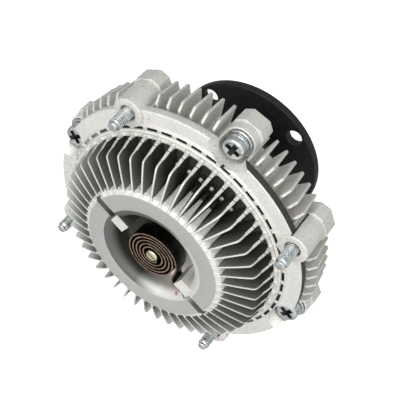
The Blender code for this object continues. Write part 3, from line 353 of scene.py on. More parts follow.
def zinc_plated_steel():
    """Bright zinc with clear passivation: bluish silver, with slightly cloudy patches."""
    material, tree, shader, place = new_material("zinc_plated_steel", 1.0)
    cloud = add(tree, NOISE, {"Vector": place, "Scale": per_mm(1.6), **SOFT}).outputs[0]
    patches = add(tree, RANGE, {0: cloud, **MIDDLE}).outputs[0]
    colour = add(tree, MIX, {0: patches, 6: linear("#B4BCC0"), 7: linear("#DDE0DD")}, **COLOURS).outputs[2]
    rough = add(tree, RANGE, {0: cloud, **MIDDLE, 3: 0.16, 4: 0.3}).outputs[0]
    fine = add(tree, NOISE, {"Vector": place, "Scale": per_mm(0.5), **SOFT}).outputs[0]
    normal = add(tree, BUMP, {"Height": fine, "Distance": 0.02 * MM, "Strength": 0.4}).outputs[0]
    linked(tree, shader, Base_Color=colour, Roughness=rough, Normal=normal)
    return material


def bimetal():
    """Rolled bimetal strip: a glossy black-brown, nearly black."""
    material, tree, shader, place = new_material("bimetal", 0.9)
    drawn_out = add(tree, "ShaderNodeMapping", {"Vector": place, "Scale": (1.0, 1.0, 0.15)}).outputs[0]
    streaks = add(tree, NOISE, {"Vector": drawn_out, "Scale": per_mm(1.2), **SOFT}).outputs[0]
    tone = add(tree, RANGE, {0: streaks, **MIDDLE}).outputs[0]
    colour = add(tree, MIX, {0: tone, 6: linear("#17150F"), 7: linear("#2B2822")}, **COLOURS).outputs[2]
    rough = add(tree, RANGE, {0: streaks, **MIDDLE, 3: 0.25, 4: 0.42}).outputs[0]
    normal = add(tree, BUMP, {"Height": streaks, "Distance": 0.02 * MM, "Strength": 0.4}).outputs[0]
    linked(tree, shader, Base_Color=colour, Roughness=rough, Normal=normal)
    return material


def bright_edge():
    """The sheared edges of the bimetal strip, at its front and back: paler and browner than its sides."""
    material, tree, shader, place = new_material("bimetal_edge", 1.0)
    cloud = add(tree, NOISE, {"Vector": place, "Scale": per_mm(2.0), **SOFT}).outputs[0]
    tone = add(tree, RANGE, {0: cloud, **MIDDLE}).outputs[0]
    colour = add(tree, MIX, {0: tone, 6: linear("#6E5A4D"), 7: linear("#B39A88")}, **COLOURS).outputs[2]
    rough = add(tree, RANGE, {0: tone, 1: 0.0, 2: 1.0, 3: 0.24, 4: 0.36}).outputs[0]
    linked(tree, shader, Base_Color=colour, Roughness=rough)
    return material


def brass():
    """Turned brass, a little dull, with fine rings left by the tool."""
    material, tree, shader, place = new_material("brass", 1.0)
    turned = {"Vector": place, "Scale": per_mm(0.4), "Distortion": 0.3}
    rings = add(tree, WAVE, turned, **RINGS).outputs["Fac"]
    cloud = add(tree, NOISE, {"Vector": place, "Scale": per_mm(1.5), **SOFT}).outputs[0]
    colour = add(tree, MIX, {0: cloud, 6: linear("#D9D5AE"), 7: linear("#F0EED8")}, **COLOURS).outputs[2]
    fine = add(tree, NOISE, {"Vector": place, "Scale": per_mm(0.8), **SOFT}).outputs[0]
    rough = add(tree, RANGE, {0: fine, **MIDDLE, 3: 0.2, 4: 0.34}).outputs[0]
    normal = add(tree, BUMP, {"Height": rings, "Distance": 0.02 * MM, "Strength": 0.4}).outputs[0]
    linked(tree, shader, Base_Color=colour, Roughness=rough, Normal=normal)
    return material


def bearing_steel():
    """Ground bearing steel: a clean grey with faint grinding lines round the axis."""
    material, tree, shader, place = new_material("bearing_steel", 1.0)
    ground = {"Vector": place, "Scale": per_mm(0.5), "Distortion": 0.3}
    lines = add(tree, WAVE, ground, **RINGS).outputs["Fac"]
    colour = add(tree, MIX, {0: lines, 6: linear("#A7A9AB"), 7: linear("#BFC1C2")}, **COLOURS).outputs[2]
    fine = add(tree, NOISE, {"Vector": place, "Scale": per_mm(1.0), **SOFT}).outputs[0]
    rough = add(tree, RANGE, {0: fine, **MIDDLE, 3: 0.18, 4: 0.3}).outputs[0]
    linked(tree, shader, Base_Color=colour, Roughness=rough)
    return material


def black_rubber():
    """Moulded nitrile rubber: black, matt and slightly dusty."""
    material, tree, shader, place = new_material("black_rubber", 0.0)
    dust = add(tree, NOISE, {"Vector": place, "Scale": per_mm(1.5), **SOFT}).outputs[0]
    patches = add(tree, RANGE, {0: dust, **MIDDLE}).outputs[0]
    colour = add(tree, MIX, {0: patches, 6: linear("#141414"), 7: linear("#252423")}, **COLOURS).outputs[2]
    rough = add(tree, RANGE, {0: dust, **MIDDLE, 3: 0.6, 4: 0.8}).outputs[0]
    normal = add(tree, BUMP, {"Height": dust, "Distance": 0.03 * MM, "Strength": 0.4}).outputs[0]
    linked(tree, shader, Base_Color=colour, Roughness=rough, Normal=normal)
    return material


def polar(radius, degrees, height=0.0):
    """The point at a radius, an angle and a height."""
    angle = math.radians(degrees)
    return Vector((radius * math.cos(angle), radius * math.sin(angle), height))


def circle_angles(count, start=0.0):
    return [start + FULL_TURN / count * i for i in range(count)]


def rounded(corners, steps=3):
    """A closed outline through (x, y, radius) corners, each rounded by its own radius."""
    outline = []
    for i, (x, y, radius) in enumerate(corners):
        here = Vector((x, y))
        before = Vector(corners[i - 1][:2]) - here
        after = Vector(corners[(i + 1) % len(corners)][:2]) - here
        if radius == 0.0:
            outline.append((x, y))
            continue
        half = before.angle(after) / 2
        reach = min(radius / math.tan(half), 0.48 * before.length, 0.48 * after.length)
        middle = (before.normalized() + after.normalized()).normalized()
        centre = here + middle * (reach / math.cos(half))
        start = here + before.normalized() * reach - centre
        sweep = start.angle_signed(here + after.normalized() * reach - centre)
        for k in range(steps + 1):
            turn = Matrix.Rotation(-sweep * k / steps, 2)
            outline.append(tuple(centre + turn @ start))
    return outline


def inset(outline, distance):
    """A closed outline moved inwards by a distance at each corner; the outline runs anticlockwise."""
    moved = []
    for i, corner in enumerate(outline):
        here = Vector(corner)
        before = (here - Vector(outline[i - 1])).normalized()
        after = (Vector(outline[(i + 1) % len(outline)]) - here).normalized()
        inward = Vector((-before.y, before.x)) + Vector((-after.y, after.x))
        share = inward.length / 2
        moved.append(tuple(here + inward.normalized() * (distance / max(share, 0.4))))
    return moved


def lathe(bm, outline, segments, centre=(0.0, 0.0), closed=True):
    """Adds a (radius, height) outline turned about an upright axis at a centre; returns its rings."""
    offset = Vector((*centre, 0.0))
    rings = []
    for radius, height in outline:
        if radius == 0.0:
            rings.append([bm.verts.new(offset + Vector((0.0, 0.0, height)))] * segments)
        else:
            angles = circle_angles(segments)
            rings.append([bm.verts.new(offset + polar(radius, degrees, height)) for degrees in angles])
    pairs = list(zip(rings, rings[1:] + rings[:1])) if closed else list(zip(rings, rings[1:]))
    for lower, upper in pairs:
        for k in range(segments):
            after = (k + 1) % segments
            corners = list(dict.fromkeys((lower[k], lower[after], upper[after], upper[k])))
            if len(corners) > 2:
                bm.faces.new(corners)
    return rings


def loft(bm, loops):
    """Joins a row of closed loops of vertices, each to the next, and closes both ends."""
    for loop, after in zip(loops, loops[1:]):
        for i in range(len(loop)):
            j = (i + 1) % len(loop)
            bm.faces.new((loop[i], loop[j], after[j], after[i]))
    bm.faces.new(loops[0])
    bm.faces.new(loops[-1])


def rectangle(low_x, high_x, low_y, high_y):
    """A closed outline of four corners."""
    return [(low_x, low_y), (high_x, low_y), (high_x, high_y), (low_x, high_y)]


def add_plate(bm, outline, back, front, edge, degrees=0.0, upright=False):
    """Adds a plate with chamfered edges: a plan outline between two levels, or an upright fin."""
    turn = Matrix.Rotation(math.radians(degrees), 3, "Z")
    inner = inset(outline, edge)
    loops = []
    for points, height in ((inner, back), (outline, back + edge), (outline, front - edge), (inner, front)):
        if upright:
            loops.append([bm.verts.new(turn @ Vector((x, height, y))) for x, y in points])
        else:
            loops.append([bm.verts.new(turn @ Vector((x, y, height))) for x, y in points])
    loft(bm, loops)


def make_object(name, bm, *materials):
    """A smooth-shaded object in metres from a bmesh in millimetres, its faces outward."""
    bmesh.ops.remove_doubles(bm, verts=bm.verts, dist=WELD / MM)
    bmesh.ops.recalc_face_normals(bm, faces=bm.faces)
    bmesh.ops.transform(bm, matrix=Matrix.Scale(MM, 4), verts=bm.verts)
    mesh = bpy.data.meshes.new(name)
    bm.to_mesh(mesh)
    bm.free()
    obj = bpy.data.objects.new(name, mesh)
    for material in materials:
        mesh.materials.append(material)
    bpy.context.scene.collection.objects.link(obj)
    return shaded(obj)


def shaded(obj):
    """Smooth shading that keeps the sharp edges."""
    obj.data.shade_smooth()
    obj.data.set_sharp_from_angle(angle=math.radians(SHARP_ANGLE))
    return obj


def bake(obj):
    """Replaces an object's mesh by what its modifiers make of it."""
    evaluated = obj.evaluated_get(bpy.context.evaluated_depsgraph_get())
    mesh = bpy.data.meshes.new_from_object(evaluated)
    obj.modifiers.clear()
    obj.data = mesh
    return shaded(obj)


def combine(target, other, operation, slot=0):
    """Joins or cuts an object with another, which is used up.

    Its faces take one of the target's materials, by the material's place among them.
    """
    other.data.polygons.foreach_set("material_index", [slot] * len(other.data.polygons))
    modifier = target.modifiers.new(other.name, "BOOLEAN")
    modifier.operation = operation
    modifier.solver = "EXACT"
    modifier.object = other
    bake(target)
    bpy.data.objects.remove(other)
    return target


def ring_of_copies():
    """A Geometry Nodes tree: copies of a mesh round the axis, as one mesh with one material."""
    tree = bpy.data.node_groups.new("ring_of_copies", "GeometryNodeTree")
    sockets = (
        ("Mesh", "NodeSocketGeometry"),
        ("Count", "NodeSocketInt"),
        ("Circle Radius", "NodeSocketFloat"),
        ("Start Angle", "NodeSocketFloat"),
        ("Random Turn", "NodeSocketFloat"),
        ("Seed", "NodeSocketInt"),
        ("Weld Distance", "NodeSocketFloat"),
        ("Material", "NodeSocketMaterial"),
    )
    for name, kind in sockets:
        tree.interface.new_socket(name, in_out="INPUT", socket_type=kind)
    tree.interface.new_socket("Mesh", in_out="OUTPUT", socket_type="NodeSocketGeometry")
    given = add(tree, "NodeGroupInput").outputs
    step = add(tree, "ShaderNodeMath", {0: math.tau, 1: given["Count"]}, operation="DIVIDE").outputs[0]
    index = add(tree, "GeometryNodeInputIndex").outputs[0]
    turn = {0: index, 1: step, 2: given["Start Angle"]}
    angle = add(tree, "ShaderNodeMath", turn, operation="MULTIPLY_ADD").outputs[0]
    out = add(tree, "ShaderNodeCombineXYZ", {"X": given["Circle Radius"]}).outputs[0]
    swing = {"Vector": out, "Angle": angle}
    spot = add(tree, "ShaderNodeVectorRotate", swing, rotation_type="Z_AXIS").outputs[0]
    points = add(tree, "GeometryNodePoints", {"Count": given["Count"], "Position": spot}).outputs[0]
    chance = {2: 0.0, 3: given["Random Turn"], 8: given["Seed"]}
    extra = add(tree, "FunctionNodeRandomValue", chance, data_type="FLOAT").outputs[1]
    facing = add(tree, "ShaderNodeMath", {0: angle, 1: extra}, operation="ADD").outputs[0]
    euler = add(tree, "ShaderNodeCombineXYZ", {"Z": facing}).outputs[0]
    rotation = add(tree, "FunctionNodeEulerToRotation", {0: euler}).outputs[0]
    placed = {"Points": points, "Instance": given["Mesh"], "Rotation": rotation}
    copies = add(tree, "GeometryNodeInstanceOnPoints", placed).outputs[0]
    real = add(tree, "GeometryNodeRealizeInstances", {0: copies}).outputs[0]
    near = {"Geometry": real, "Distance": given["Weld Distance"]}
    welded = add(tree, "GeometryNodeMergeByDistance", near).outputs[0]
    painted = {"Geometry": welded, "Material": given["Material"]}
    result = add(tree, "GeometryNodeSetMaterial", painted).outputs[0]
    add(tree, "NodeGroupOutput", {0: result})
    return tree


def repeated(obj, tree, material, count, start=0.0, circle=0.0, random_turn=0.0, seed=0):
    """Makes an object's mesh into a ring of copies of it."""
    values = {
        "Count": count,
        "Circle Radius": circle * MM,
        "Start Angle": math.radians(start),
        "Random Turn": math.radians(random_turn),
        "Seed": seed,
        "Weld Distance": WELD,
        "Material": material,
    }
    modifier = obj.modifiers.new("copies", "NODES")
    modifier.node_group = tree
    for item in tree.interface.items_tree:
        if item.item_type == "SOCKET" and item.in_out == "INPUT" and item.name in values:
            modifier[item.identifier] = values[item.name]
    return bake(obj)


def choose_faces(obj, slot, chosen):
    """Gives a material slot to the faces that a test on centre (in millimetres) and normal picks."""
    for polygon in obj.data.polygons:
        if chosen(polygon.center / MM, polygon.normal):
            polygon.material_index = slot


def paint_faces(obj, material, chosen):
    """Adds a material to an object and gives it to the faces that a test picks."""
    obj.data.materials.append(material)
    choose_faces(obj, len(obj.data.materials) - 1, chosen)


def stand_for(obj, body, slot, *nodes):
    """Lets a finished piece ride on a body in the place of CAD nodes."""
    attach(obj, body)
    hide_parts(*nodes)


def fin_half_width(height):
    """Half the thickness of a front fin at a height: thin at its edge, thicker at its root."""
    depth = (COVER_FRONT - height) / (COVER_FRONT - RIM_LEVEL)
    return (FIN_EDGE + (FIN_ROOT - FIN_EDGE) * depth) / 2


def facing(points):
    """The direction that each point of a (radius, height) line faces, to the left of its run."""
    faced = []
    for i in range(len(points)):
        before = Vector(points[max(i - 1, 0)])
        after = Vector(points[min(i + 1, len(points) - 1)])
        along = (after - before).normalized() if (after - before).length else Vector((1.0, 0.0))
        faced.append(Vector((-along.y, along.x)))
    return faced


def fin_sector(bm):
    """One front fin with half a gap on each side, from the boss out to the rim's side."""
    # Each row: gap radius and height, fin radius and height, how far the fin stands out
    rows = [
        (COVER_BOSS_EDGE, 89.9, COVER_BOSS_EDGE, 89.9, 0.0),
        (35.25, 89.65, 35.6, 89.55, 0.3),
        (37.25, 87.65, 36.4, 89.4, 0.8),
        (COVER_BOSS_RADIUS, 86.9, 36.9, 89.3, 1.0),
        (COVER_BOSS_RADIUS, 80.0, 37.3, 89.25, 1.0),
        (37.6, 73.5, 37.8, 89.15, 1.0),
        (38.0, 71.9, 38.4, 89.1, 1.0),
        (38.9, 71.5, 39.5, 88.8, 1.0),
        (41.0, 71.3, 42.0, 88.2, 1.0),
        (44.0, 71.1, 45.5, 87.3, 1.0),
        (47.0, 70.9, 49.0, 86.3, 1.0),
        (49.5, 70.7, 51.6, 85.5, 1.0),
        (51.0, 70.6, 52.4, 84.8, 1.0),
        (52.0, 70.5, 52.9, 83.6, 1.0),
        (53.0, 70.4, 53.5, 80.5, 1.0),
        (53.7, 70.5, 54.3, 77.4, 1.0),
        (53.95, 71.3, 54.65, 76.1, 1.0),
        (54.1, 72.0, 54.3, 75.8, 1.0),
        (54.4, 72.3, 54.35, 75.5, 1.0),
        (54.7, 72.3, 54.9, 75.2, 1.0),
        (55.2, 72.2, 55.1, 73.6, 1.0),
        (55.6, 72.1, 55.4, 72.5, 1.0),
        (55.9, 72.0, 55.9, 72.2, 0.8),
        (56.05, 71.2, 56.05, 71.2, 0.3),
        (56.7, 71.0, 56.7, 71.0, 0.0),
        (COVER_RADIUS, 70.7, COVER_RADIUS, 70.7, 0.0),
        (COVER_RADIUS, RIM_BACK, COVER_RADIUS, RIM_BACK, 0.0),
    ]
    top_round = 0.22
    gap_faces = facing([row[0:2] for row in rows])
    fin_faces = facing([row[2:4] for row in rows])
    lines = []
    for row, gap_face, fin_face in zip(rows, gap_faces, fin_faces):
        gap, fin, stand = Vector(row[0:2]), Vector(row[2:4]), row[4]
        edge = fin_half_width(fin.y)
        side = gap + gap_face * FIN_FILLET * stand
        low = gap + gap_face * FIN_FILLET * 0.3 * stand
        root = max(fin_half_width(side.y), edge + 0.12)
        half = [
            (fin, 0.0),
            (fin - fin_face * top_round * 0.15 * stand, edge * 0.65),
            (fin - fin_face * top_round * stand, edge),
            (side, root),
            (low, root + 0.3),
            (gap, root + 1.0),
        ]
        corners = []
        for point, width in half:
            corners.append((point.x, math.degrees(math.asin(width / point.x)), point.y))
        corners.append((gap.x, HALF_FIN_PITCH, gap.y))
        both = [(r, -a, z) for r, a, z in reversed(corners[1:])] + corners
        lines.append([bm.verts.new(polar(r, a, z)) for r, a, z in both])
    for line, after in zip(lines, lines[1:]):
        for i in range(len(line) - 1):
            bm.faces.new((line[i], line[i + 1], after[i + 1], after[i]))


def gusset(bm):
    """A rib from the boss wall down to the floor of a gap, narrowing outwards."""
    foot = 70.3
    # Radius, height of the top, half width
    sections = (
        (35.6, 89.2, 1.9),
        (36.9, 88.6, 2.0),
        (38.0, 85.8, 1.5),
        (39.6, 81.7, 1.1),
        (41.2, 77.7, 0.75),
        (41.8, 71.6, 0.7),
    )
    lines = []
    for radius, top, half in sections:
        left = [(-half - 0.15, foot), (-half, top - 0.35), (-half * 0.7, top)]
        right = [(-y, z) for y, z in reversed(left)]
        lines.append([bm.verts.new(Vector((radius, y, z))) for y, z in left + right])
    loft(bm, lines)


def stitch(bm, dense, sparse):
    """Joins two rings of vertices round the axis, the first with a multiple of the other's count."""
    ratio = len(dense) // len(sparse)
    middle = ratio // 2
    for k in range(len(sparse)):
        after = (k + 1) % len(sparse)
        for j in range(ratio):
            here = dense[k * ratio + j]
            there = dense[(k * ratio + j + 1) % len(dense)]
            bm.faces.new((here, there, sparse[k] if j < middle else sparse[after]))
        bm.faces.new((sparse[k], sparse[after], dense[k * ratio + middle]))


def front_casting(tree, cast, machined, painted_shade):
    """The front cover: fins and gussets round a boss, and the recess that the coil lies in."""
    bm = bmesh.new()
    fin_sector(bm)
    fins = repeated(make_object("front_casting", bm, cast), tree, cast, FRONT_FINS)

    bm = bmesh.new()
    bm.from_mesh(fins.data)
    bmesh.ops.transform(bm, matrix=Matrix.Scale(1 / MM, 4), verts=bm.verts)
    open_ends = {v for edge in bm.edges if edge.is_boundary for v in edge.verts}
    by_angle = sorted(open_ends, key=lambda v: math.atan2(v.co.y, v.co.x) % math.tau)
    front_ring = [v for v in by_angle if v.co.z > RECESS_FLOOR]
    back_ring = [v for v in by_angle if v.co.z < RECESS_FLOOR]
    core = rounded(
        [
            (COVER_RADIUS - 0.3, RIM_BACK, 0.0),
            (SPIGOT_RADIUS, RIM_BACK, 0.2),
            (SPIGOT_RADIUS, COVER_BACK, 0.2),
            (SPIGOT_BORE, COVER_BACK, 0.2),
            (SPIGOT_BORE, PLATE_SEAT, 0.0),
            (RESERVOIR_RADIUS, PLATE_SEAT, 0.0),
            (RESERVOIR_RADIUS, RESERVOIR_FRONT, 1.0),
            (27.2, RESERVOIR_FRONT, 2.0),
            (18.2, CROWN_INSIDE, 3.0),
            (PIN_BOSS_RADIUS, CROWN_INSIDE, 1.0),
            (PIN_BOSS_RADIUS, PIN_BOSS_BACK, 0.3),
            (PIN_BORE, PIN_BOSS_BACK, 0.2),
            (PIN_BORE, RECESS_FLOOR, 0.2),
            (RECESS_RADIUS, RECESS_FLOOR, 3.0),
            (RECESS_RADIUS, COVER_FRONT, RECESS_ROUND),
            (COVER_BOSS_EDGE - 0.3, COVER_FRONT, 0.0),
        ],
        steps=6,
    )
    rings = lathe(bm, core, BODY_SEGMENTS, closed=False)
    stitch(bm, front_ring, rings[-1])
    stitch(bm, back_ring, rings[0])
    bpy.data.objects.remove(fins)
    casting = make_object("front_casting", bm, cast)

    bm = bmesh.new()
    gusset(bm)
    gussets = repeated(make_object("gussets", bm, cast), tree, cast, FRONT_FINS, HALF_FIN_PITCH)
    combine(casting, gussets, "UNION")

    bm = bmesh.new()
    lug = rectangle(16.8, SLOT_INNER + 0.2, -2.1, 4.65)
    for degrees in circle_angles(2, SLOT_ANGLE):
        add_plate(bm, lug, RECESS_FLOOR - 1.0, COVER_FRONT - 0.4, 0.2, degrees)
    combine(casting, make_object("lugs", bm, cast), "UNION")

    bm = bmesh.new()
    slot = rectangle(SLOT_INNER, SLOT_OUTER, -SLOT_WIDTH / 2, SLOT_WIDTH / 2)
    for degrees in circle_angles(2, SLOT_ANGLE):
        add_plate(bm, slot, COVER_FRONT - SLOT_DEPTH, COVER_FRONT + 3.0, 0.3, degrees)
    slit = rectangle(19.0, SLOT_INNER + 0.5, -3.45, -2.0)
    add_plate(bm, slit, COIL_BACK - 0.3, COVER_FRONT + 3.0, 0.1, COIL_LUG)
    combine(casting, make_object("slot_cutters", bm, cast), "DIFFERENCE")

    bm = bmesh.new()
    lathe(bm, [(0.0, 69.8), (1.35, 69.8), (1.2, 73.4), (0.8, 73.8), (0.0, 73.9)], 12, (46.2, 0.0))
    pips = repeated(make_object("pips", bm, cast), tree, cast, FRONT_FINS, HALF_FIN_PITCH)
    combine(casting, pips, "UNION")

    def is_machined(centre, normal):
        face = centre.z > COVER_FRONT - 0.05 and 25.0 < math.hypot(centre.x, centre.y) < 35.2
        return face or math.hypot(centre.x, centre.y) < 4.0

    # Faces that get the painted shade
    def gets_painted_shade(centre, normal):
        radius = math.hypot(centre.x, centre.y)
        # Painted shade between the fins: their flanks, which face round the axis, and all that lies low
        across = abs(normal.x * centre.y - normal.y * centre.x) / max(radius, 1.0)
        low = centre.z < 73.0 or radius < 43.0 and centre.z < 77.0
        in_gap = 37.3 < radius < 54.2 and (across > 0.6 or low) and centre.z > RIM_LEVEL - 1.5
        # A painted shadow line across each fin at its notch
        in_notch = 54.2 < radius < 54.6 and 75.3 < centre.z < 76.0
        # Painted shade in the sawn slots, whose distance is measured across their own direction
        slot_turn = math.radians(SLOT_ANGLE)
        aside = abs(centre.y * math.cos(slot_turn) - centre.x * math.sin(slot_turn))
        along = SLOT_INNER < radius < SLOT_OUTER + 0.1
        in_slot = along and aside < SLOT_WIDTH / 2 + 0.1 and centre.z < COVER_FRONT - 0.4
        # Painted shade in the recess, apart from the flat tops of its lugs
        on_lug = normal.z > 0.999 and centre.z > COVER_FRONT - 0.6
        within = 4.0 < radius < RECESS_RADIUS + RECESS_ROUND
        in_recess = within and centre.z < COVER_FRONT - 0.02 and not on_lug
        return in_gap or in_notch or in_slot or in_recess

    paint_faces(casting, machined, is_machined)
    # Painted shade in the gaps between the fins, the notches, the slots and the recess
    paint_faces(casting, painted_shade, gets_painted_shade)
    return casting


def rear_fin_plates(bm):
    """The fins of the case: tall ones between the bosses and a short one beside each boss."""
    tall = rounded(
        [
            (45.0, 47.4, 0.0),
            (68.6, 46.6, 0.8),
            (70.0, 60.6, 0.8),
            (67.1, 64.0, 0.8),
            (FIN_FOOT, 64.0, 0.0),
            (FIN_FOOT, 50.0, 0.0),
        ],
        steps=2,
    )
    short = rounded(
        [
            (45.0, 47.4, 0.0),
            (64.6, 45.1, 0.6),
            (64.6, 64.0, 0.6),
            (FIN_FOOT, 64.0, 0.0),
            (FIN_FOOT, 50.0, 0.0),
        ],
        steps=2,
    )
    half = REAR_FIN_THICKNESS / 2
    for boss in circle_angles(2 * BOSS_PAIRS):
        middle = boss + FULL_TURN / (4 * BOSS_PAIRS)
        for index in range(REAR_FINS_TALL):
            degrees = middle + REAR_FIN_PITCH * (index - (REAR_FINS_TALL - 1) / 2)
            add_plate(bm, tall, -half, half, 0.25, degrees, upright=True)
        for side in (-1, 1):
            add_plate(bm, short, -half, half, 0.25, middle + side * REAR_FIN_SHORT, upright=True)


def boss_blocks(bm):
    """The cast block behind each boss, with a flat and two sloped sides outward."""
    corners = [(FIN_FOOT, -7.6, 0.0), (69.0, -7.6, 0.6), (72.6, -4.25, 0.6)]
    corners += [(x, -y, radius) for x, y, radius in reversed(corners)]
    outline = rounded(corners, steps=2)
    for degrees in circle_angles(2 * BOSS_PAIRS):
        add_plate(bm, outline, 46.0, 54.5, 0.2, degrees)


def screw_hole(bm, degrees):
    """The cutter of a screw's hole and seat, and above them a soft notch that widens round the ring."""
    outline = [(0.0, SCREW_BACK - 0.3), (BORE_RADIUS, SCREW_BACK - 0.3)]
    outline += [(BORE_RADIUS, SCREW_SEAT), (SCOOP_RADIUS, SCREW_SEAT)]
    steps = 8
    rise = RING_FRONT + 0.6 - SCOOP_BACK
    for i in range(steps + 1):
        outline.append((SCOOP_RADIUS - SCOOP_NARROWING * i / steps, SCOOP_BACK + rise * i / steps))
    outline += [(SCOOP_RADIUS - SCOOP_NARROWING, RING_FRONT + 3.0), (0.0, RING_FRONT + 3.0)]
    turn = Matrix.Rotation(math.radians(degrees), 3, "Z")
    rings = lathe(bm, outline, SMALL_SEGMENTS)
    for vert in {vert for ring in rings for vert in ring}:
        share = min(max((vert.co.z - SCOOP_BACK) / (RING_FRONT - SCOOP_BACK), 0.0), 1.0)
        aside = vert.co.y * (1.0 + SCOOP_SPREAD * share**1.5)
        vert.co = turn @ Vector((vert.co.x + BOSS_CIRCLE, aside, vert.co.z))


def rear_casting(tree, cast, machined, painted_shade):
    """The rear case: hub, dished back, wall, ring flange, fins and the fan's bosses."""
    outline = rounded(
        [
            (24.4, HUB_BACK, 0.0),
            (HUB_RADIUS, HUB_BACK, 1.0),
            (HUB_RADIUS, 45.0, 2.5),
            (WALL_RADIUS, 47.5, 2.0),
            (WALL_RADIUS, RING_BACK, 1.2),
            (RING_RADIUS, RING_BACK, 0.8),
            (RING_RADIUS, RING_FRONT, 0.7),
            (59.5, RING_FRONT, 0.3),
            (58.8, STAKED_EDGE_FRONT, 0.3),
            (COVER_RADIUS + 0.1, STAKED_EDGE_FRONT, 0.2),
            (COVER_RADIUS + 0.1, 69.6, 0.0),
            (COVER_RADIUS + 0.3, COVER_SEAT, 0.0),
            (CAVITY_RADIUS, COVER_SEAT, 0.2),
            (CAVITY_RADIUS, CAVITY_BACK, 1.0),
            # The land that stands in a groove of the rotor
            (37.6, CAVITY_BACK, 0.3),
            (37.6, CAVITY_BACK + 3.0, 0.2),
            (36.4, CAVITY_BACK + 3.0, 0.2),
            (36.4, CAVITY_BACK, 0.3),
            (SHAFT_PASSAGE, CAVITY_BACK, 0.5),
            (SHAFT_PASSAGE, BEARING_STOP, 0.2),
            (BEARING_BORE, BEARING_STOP, 0.0),
            (BEARING_BORE, SNAP_GROOVE_FRONT, 0.0),
            (SNAP_GROOVE_RADIUS, SNAP_GROOVE_FRONT, 0.0),
            (SNAP_GROOVE_RADIUS, SNAP_GROOVE_BACK, 0.0),
            (BEARING_BORE, SNAP_GROOVE_BACK, 0.0),
            (BEARING_BORE, HUB_BACK + 0.6, 0.0),
        ]
    )
    bm = bmesh.new()
    lathe(bm, outline, BODY_SEGMENTS)
    casting = make_object("rear_casting", bm, cast)
    casting.data.materials.append(machined)
    casting.data.materials.append(painted_shade)

    bm = bmesh.new()
    mark = rectangle(STAKE_INNER, STAKE_OUTER, -STAKE_LENGTH / 2, STAKE_LENGTH / 2)
    add_plate(bm, mark, 69.0, 71.0, 0.1)
    marks = make_object("stake_marks", bm, cast)
    repeated(marks, tree, cast, FRONT_FINS, HALF_FIN_PITCH + STAKE_SHIFT)
    # Painted shade in the pockets of the stake marks
    combine(casting, marks, "DIFFERENCE", slot=2)

    bm = bmesh.new()
    rear_fin_plates(bm)
    combine(casting, make_object("rear_fins", bm, cast), "UNION")
    bm = bmesh.new()
    boss_blocks(bm)
    combine(casting, make_object("blocks", bm, cast), "UNION")

    bm = bmesh.new()
    for start, front in ((STUD_ANGLE, STUD_BOSS_FRONT), (SCREW_ANGLE, SCREW_SEAT + 0.4)):
        corners = [(0.0, 47.0, 0.0), (BOSS_RADIUS, 47.0, 0.0), (BOSS_RADIUS, front, 0.5), (0.0, front, 0.0)]
        boss = rounded(corners)
        for degrees in circle_angles(BOSS_PAIRS, start):
            spot = polar(BOSS_CIRCLE, degrees)
            lathe(bm, boss, SMALL_SEGMENTS, (spot.x, spot.y))
    combine(casting, make_object("bosses", bm, cast), "UNION")

    bm = bmesh.new()
    stud_hole = [
        (0.0, STUD_BACK - 0.3),
        (BORE_RADIUS, STUD_BACK - 0.3),
        (BORE_RADIUS, STUD_BOSS_FRONT - 3.0),
        (3.8, STUD_BOSS_FRONT - 2.5),
        (3.8, STUD_BOSS_FRONT - 0.4),
        (4.6, STUD_BOSS_FRONT + 0.4),
        (4.6, STUD_BOSS_FRONT + 3.0),
        (0.0, STUD_BOSS_FRONT + 3.0),
    ]
    for degrees in circle_angles(BOSS_PAIRS, STUD_ANGLE):
        spot = polar(BOSS_CIRCLE, degrees)
        lathe(bm, stud_hole, SMALL_SEGMENTS, (spot.x, spot.y))
    for degrees in circle_angles(BOSS_PAIRS, SCREW_ANGLE):
        screw_hole(bm, degrees)
    combine(casting, make_object("hole_cutters", bm, cast), "DIFFERENCE")

    def is_machined(centre, normal):
        radius = math.hypot(centre.x, centre.y)
        spot_face = normal.z > 0.99 and abs(centre.z - SCREW_SEAT) < 0.1
        hub_end = normal.z < -0.99 and centre.z < HUB_BACK + 0.1
        return spot_face or radius < 25.2 or hub_end

    # Painted shade on the ring's outer side, on the part towards -X
    def in_painted_ring_shade(centre, normal):
        outside = math.hypot(centre.x, centre.y) > RING_RADIUS - 0.2 and RING_BACK < centre.z < RING_FRONT
        return outside and abs(normal.z) < 0.3 and centre.x < -4.0 and centre.y < 40.0

    choose_faces(casting, 1, is_machined)
    # Painted shade on one side of the ring's outer wall
    choose_faces(casting, 2, in_painted_ring_shade)
    return casting


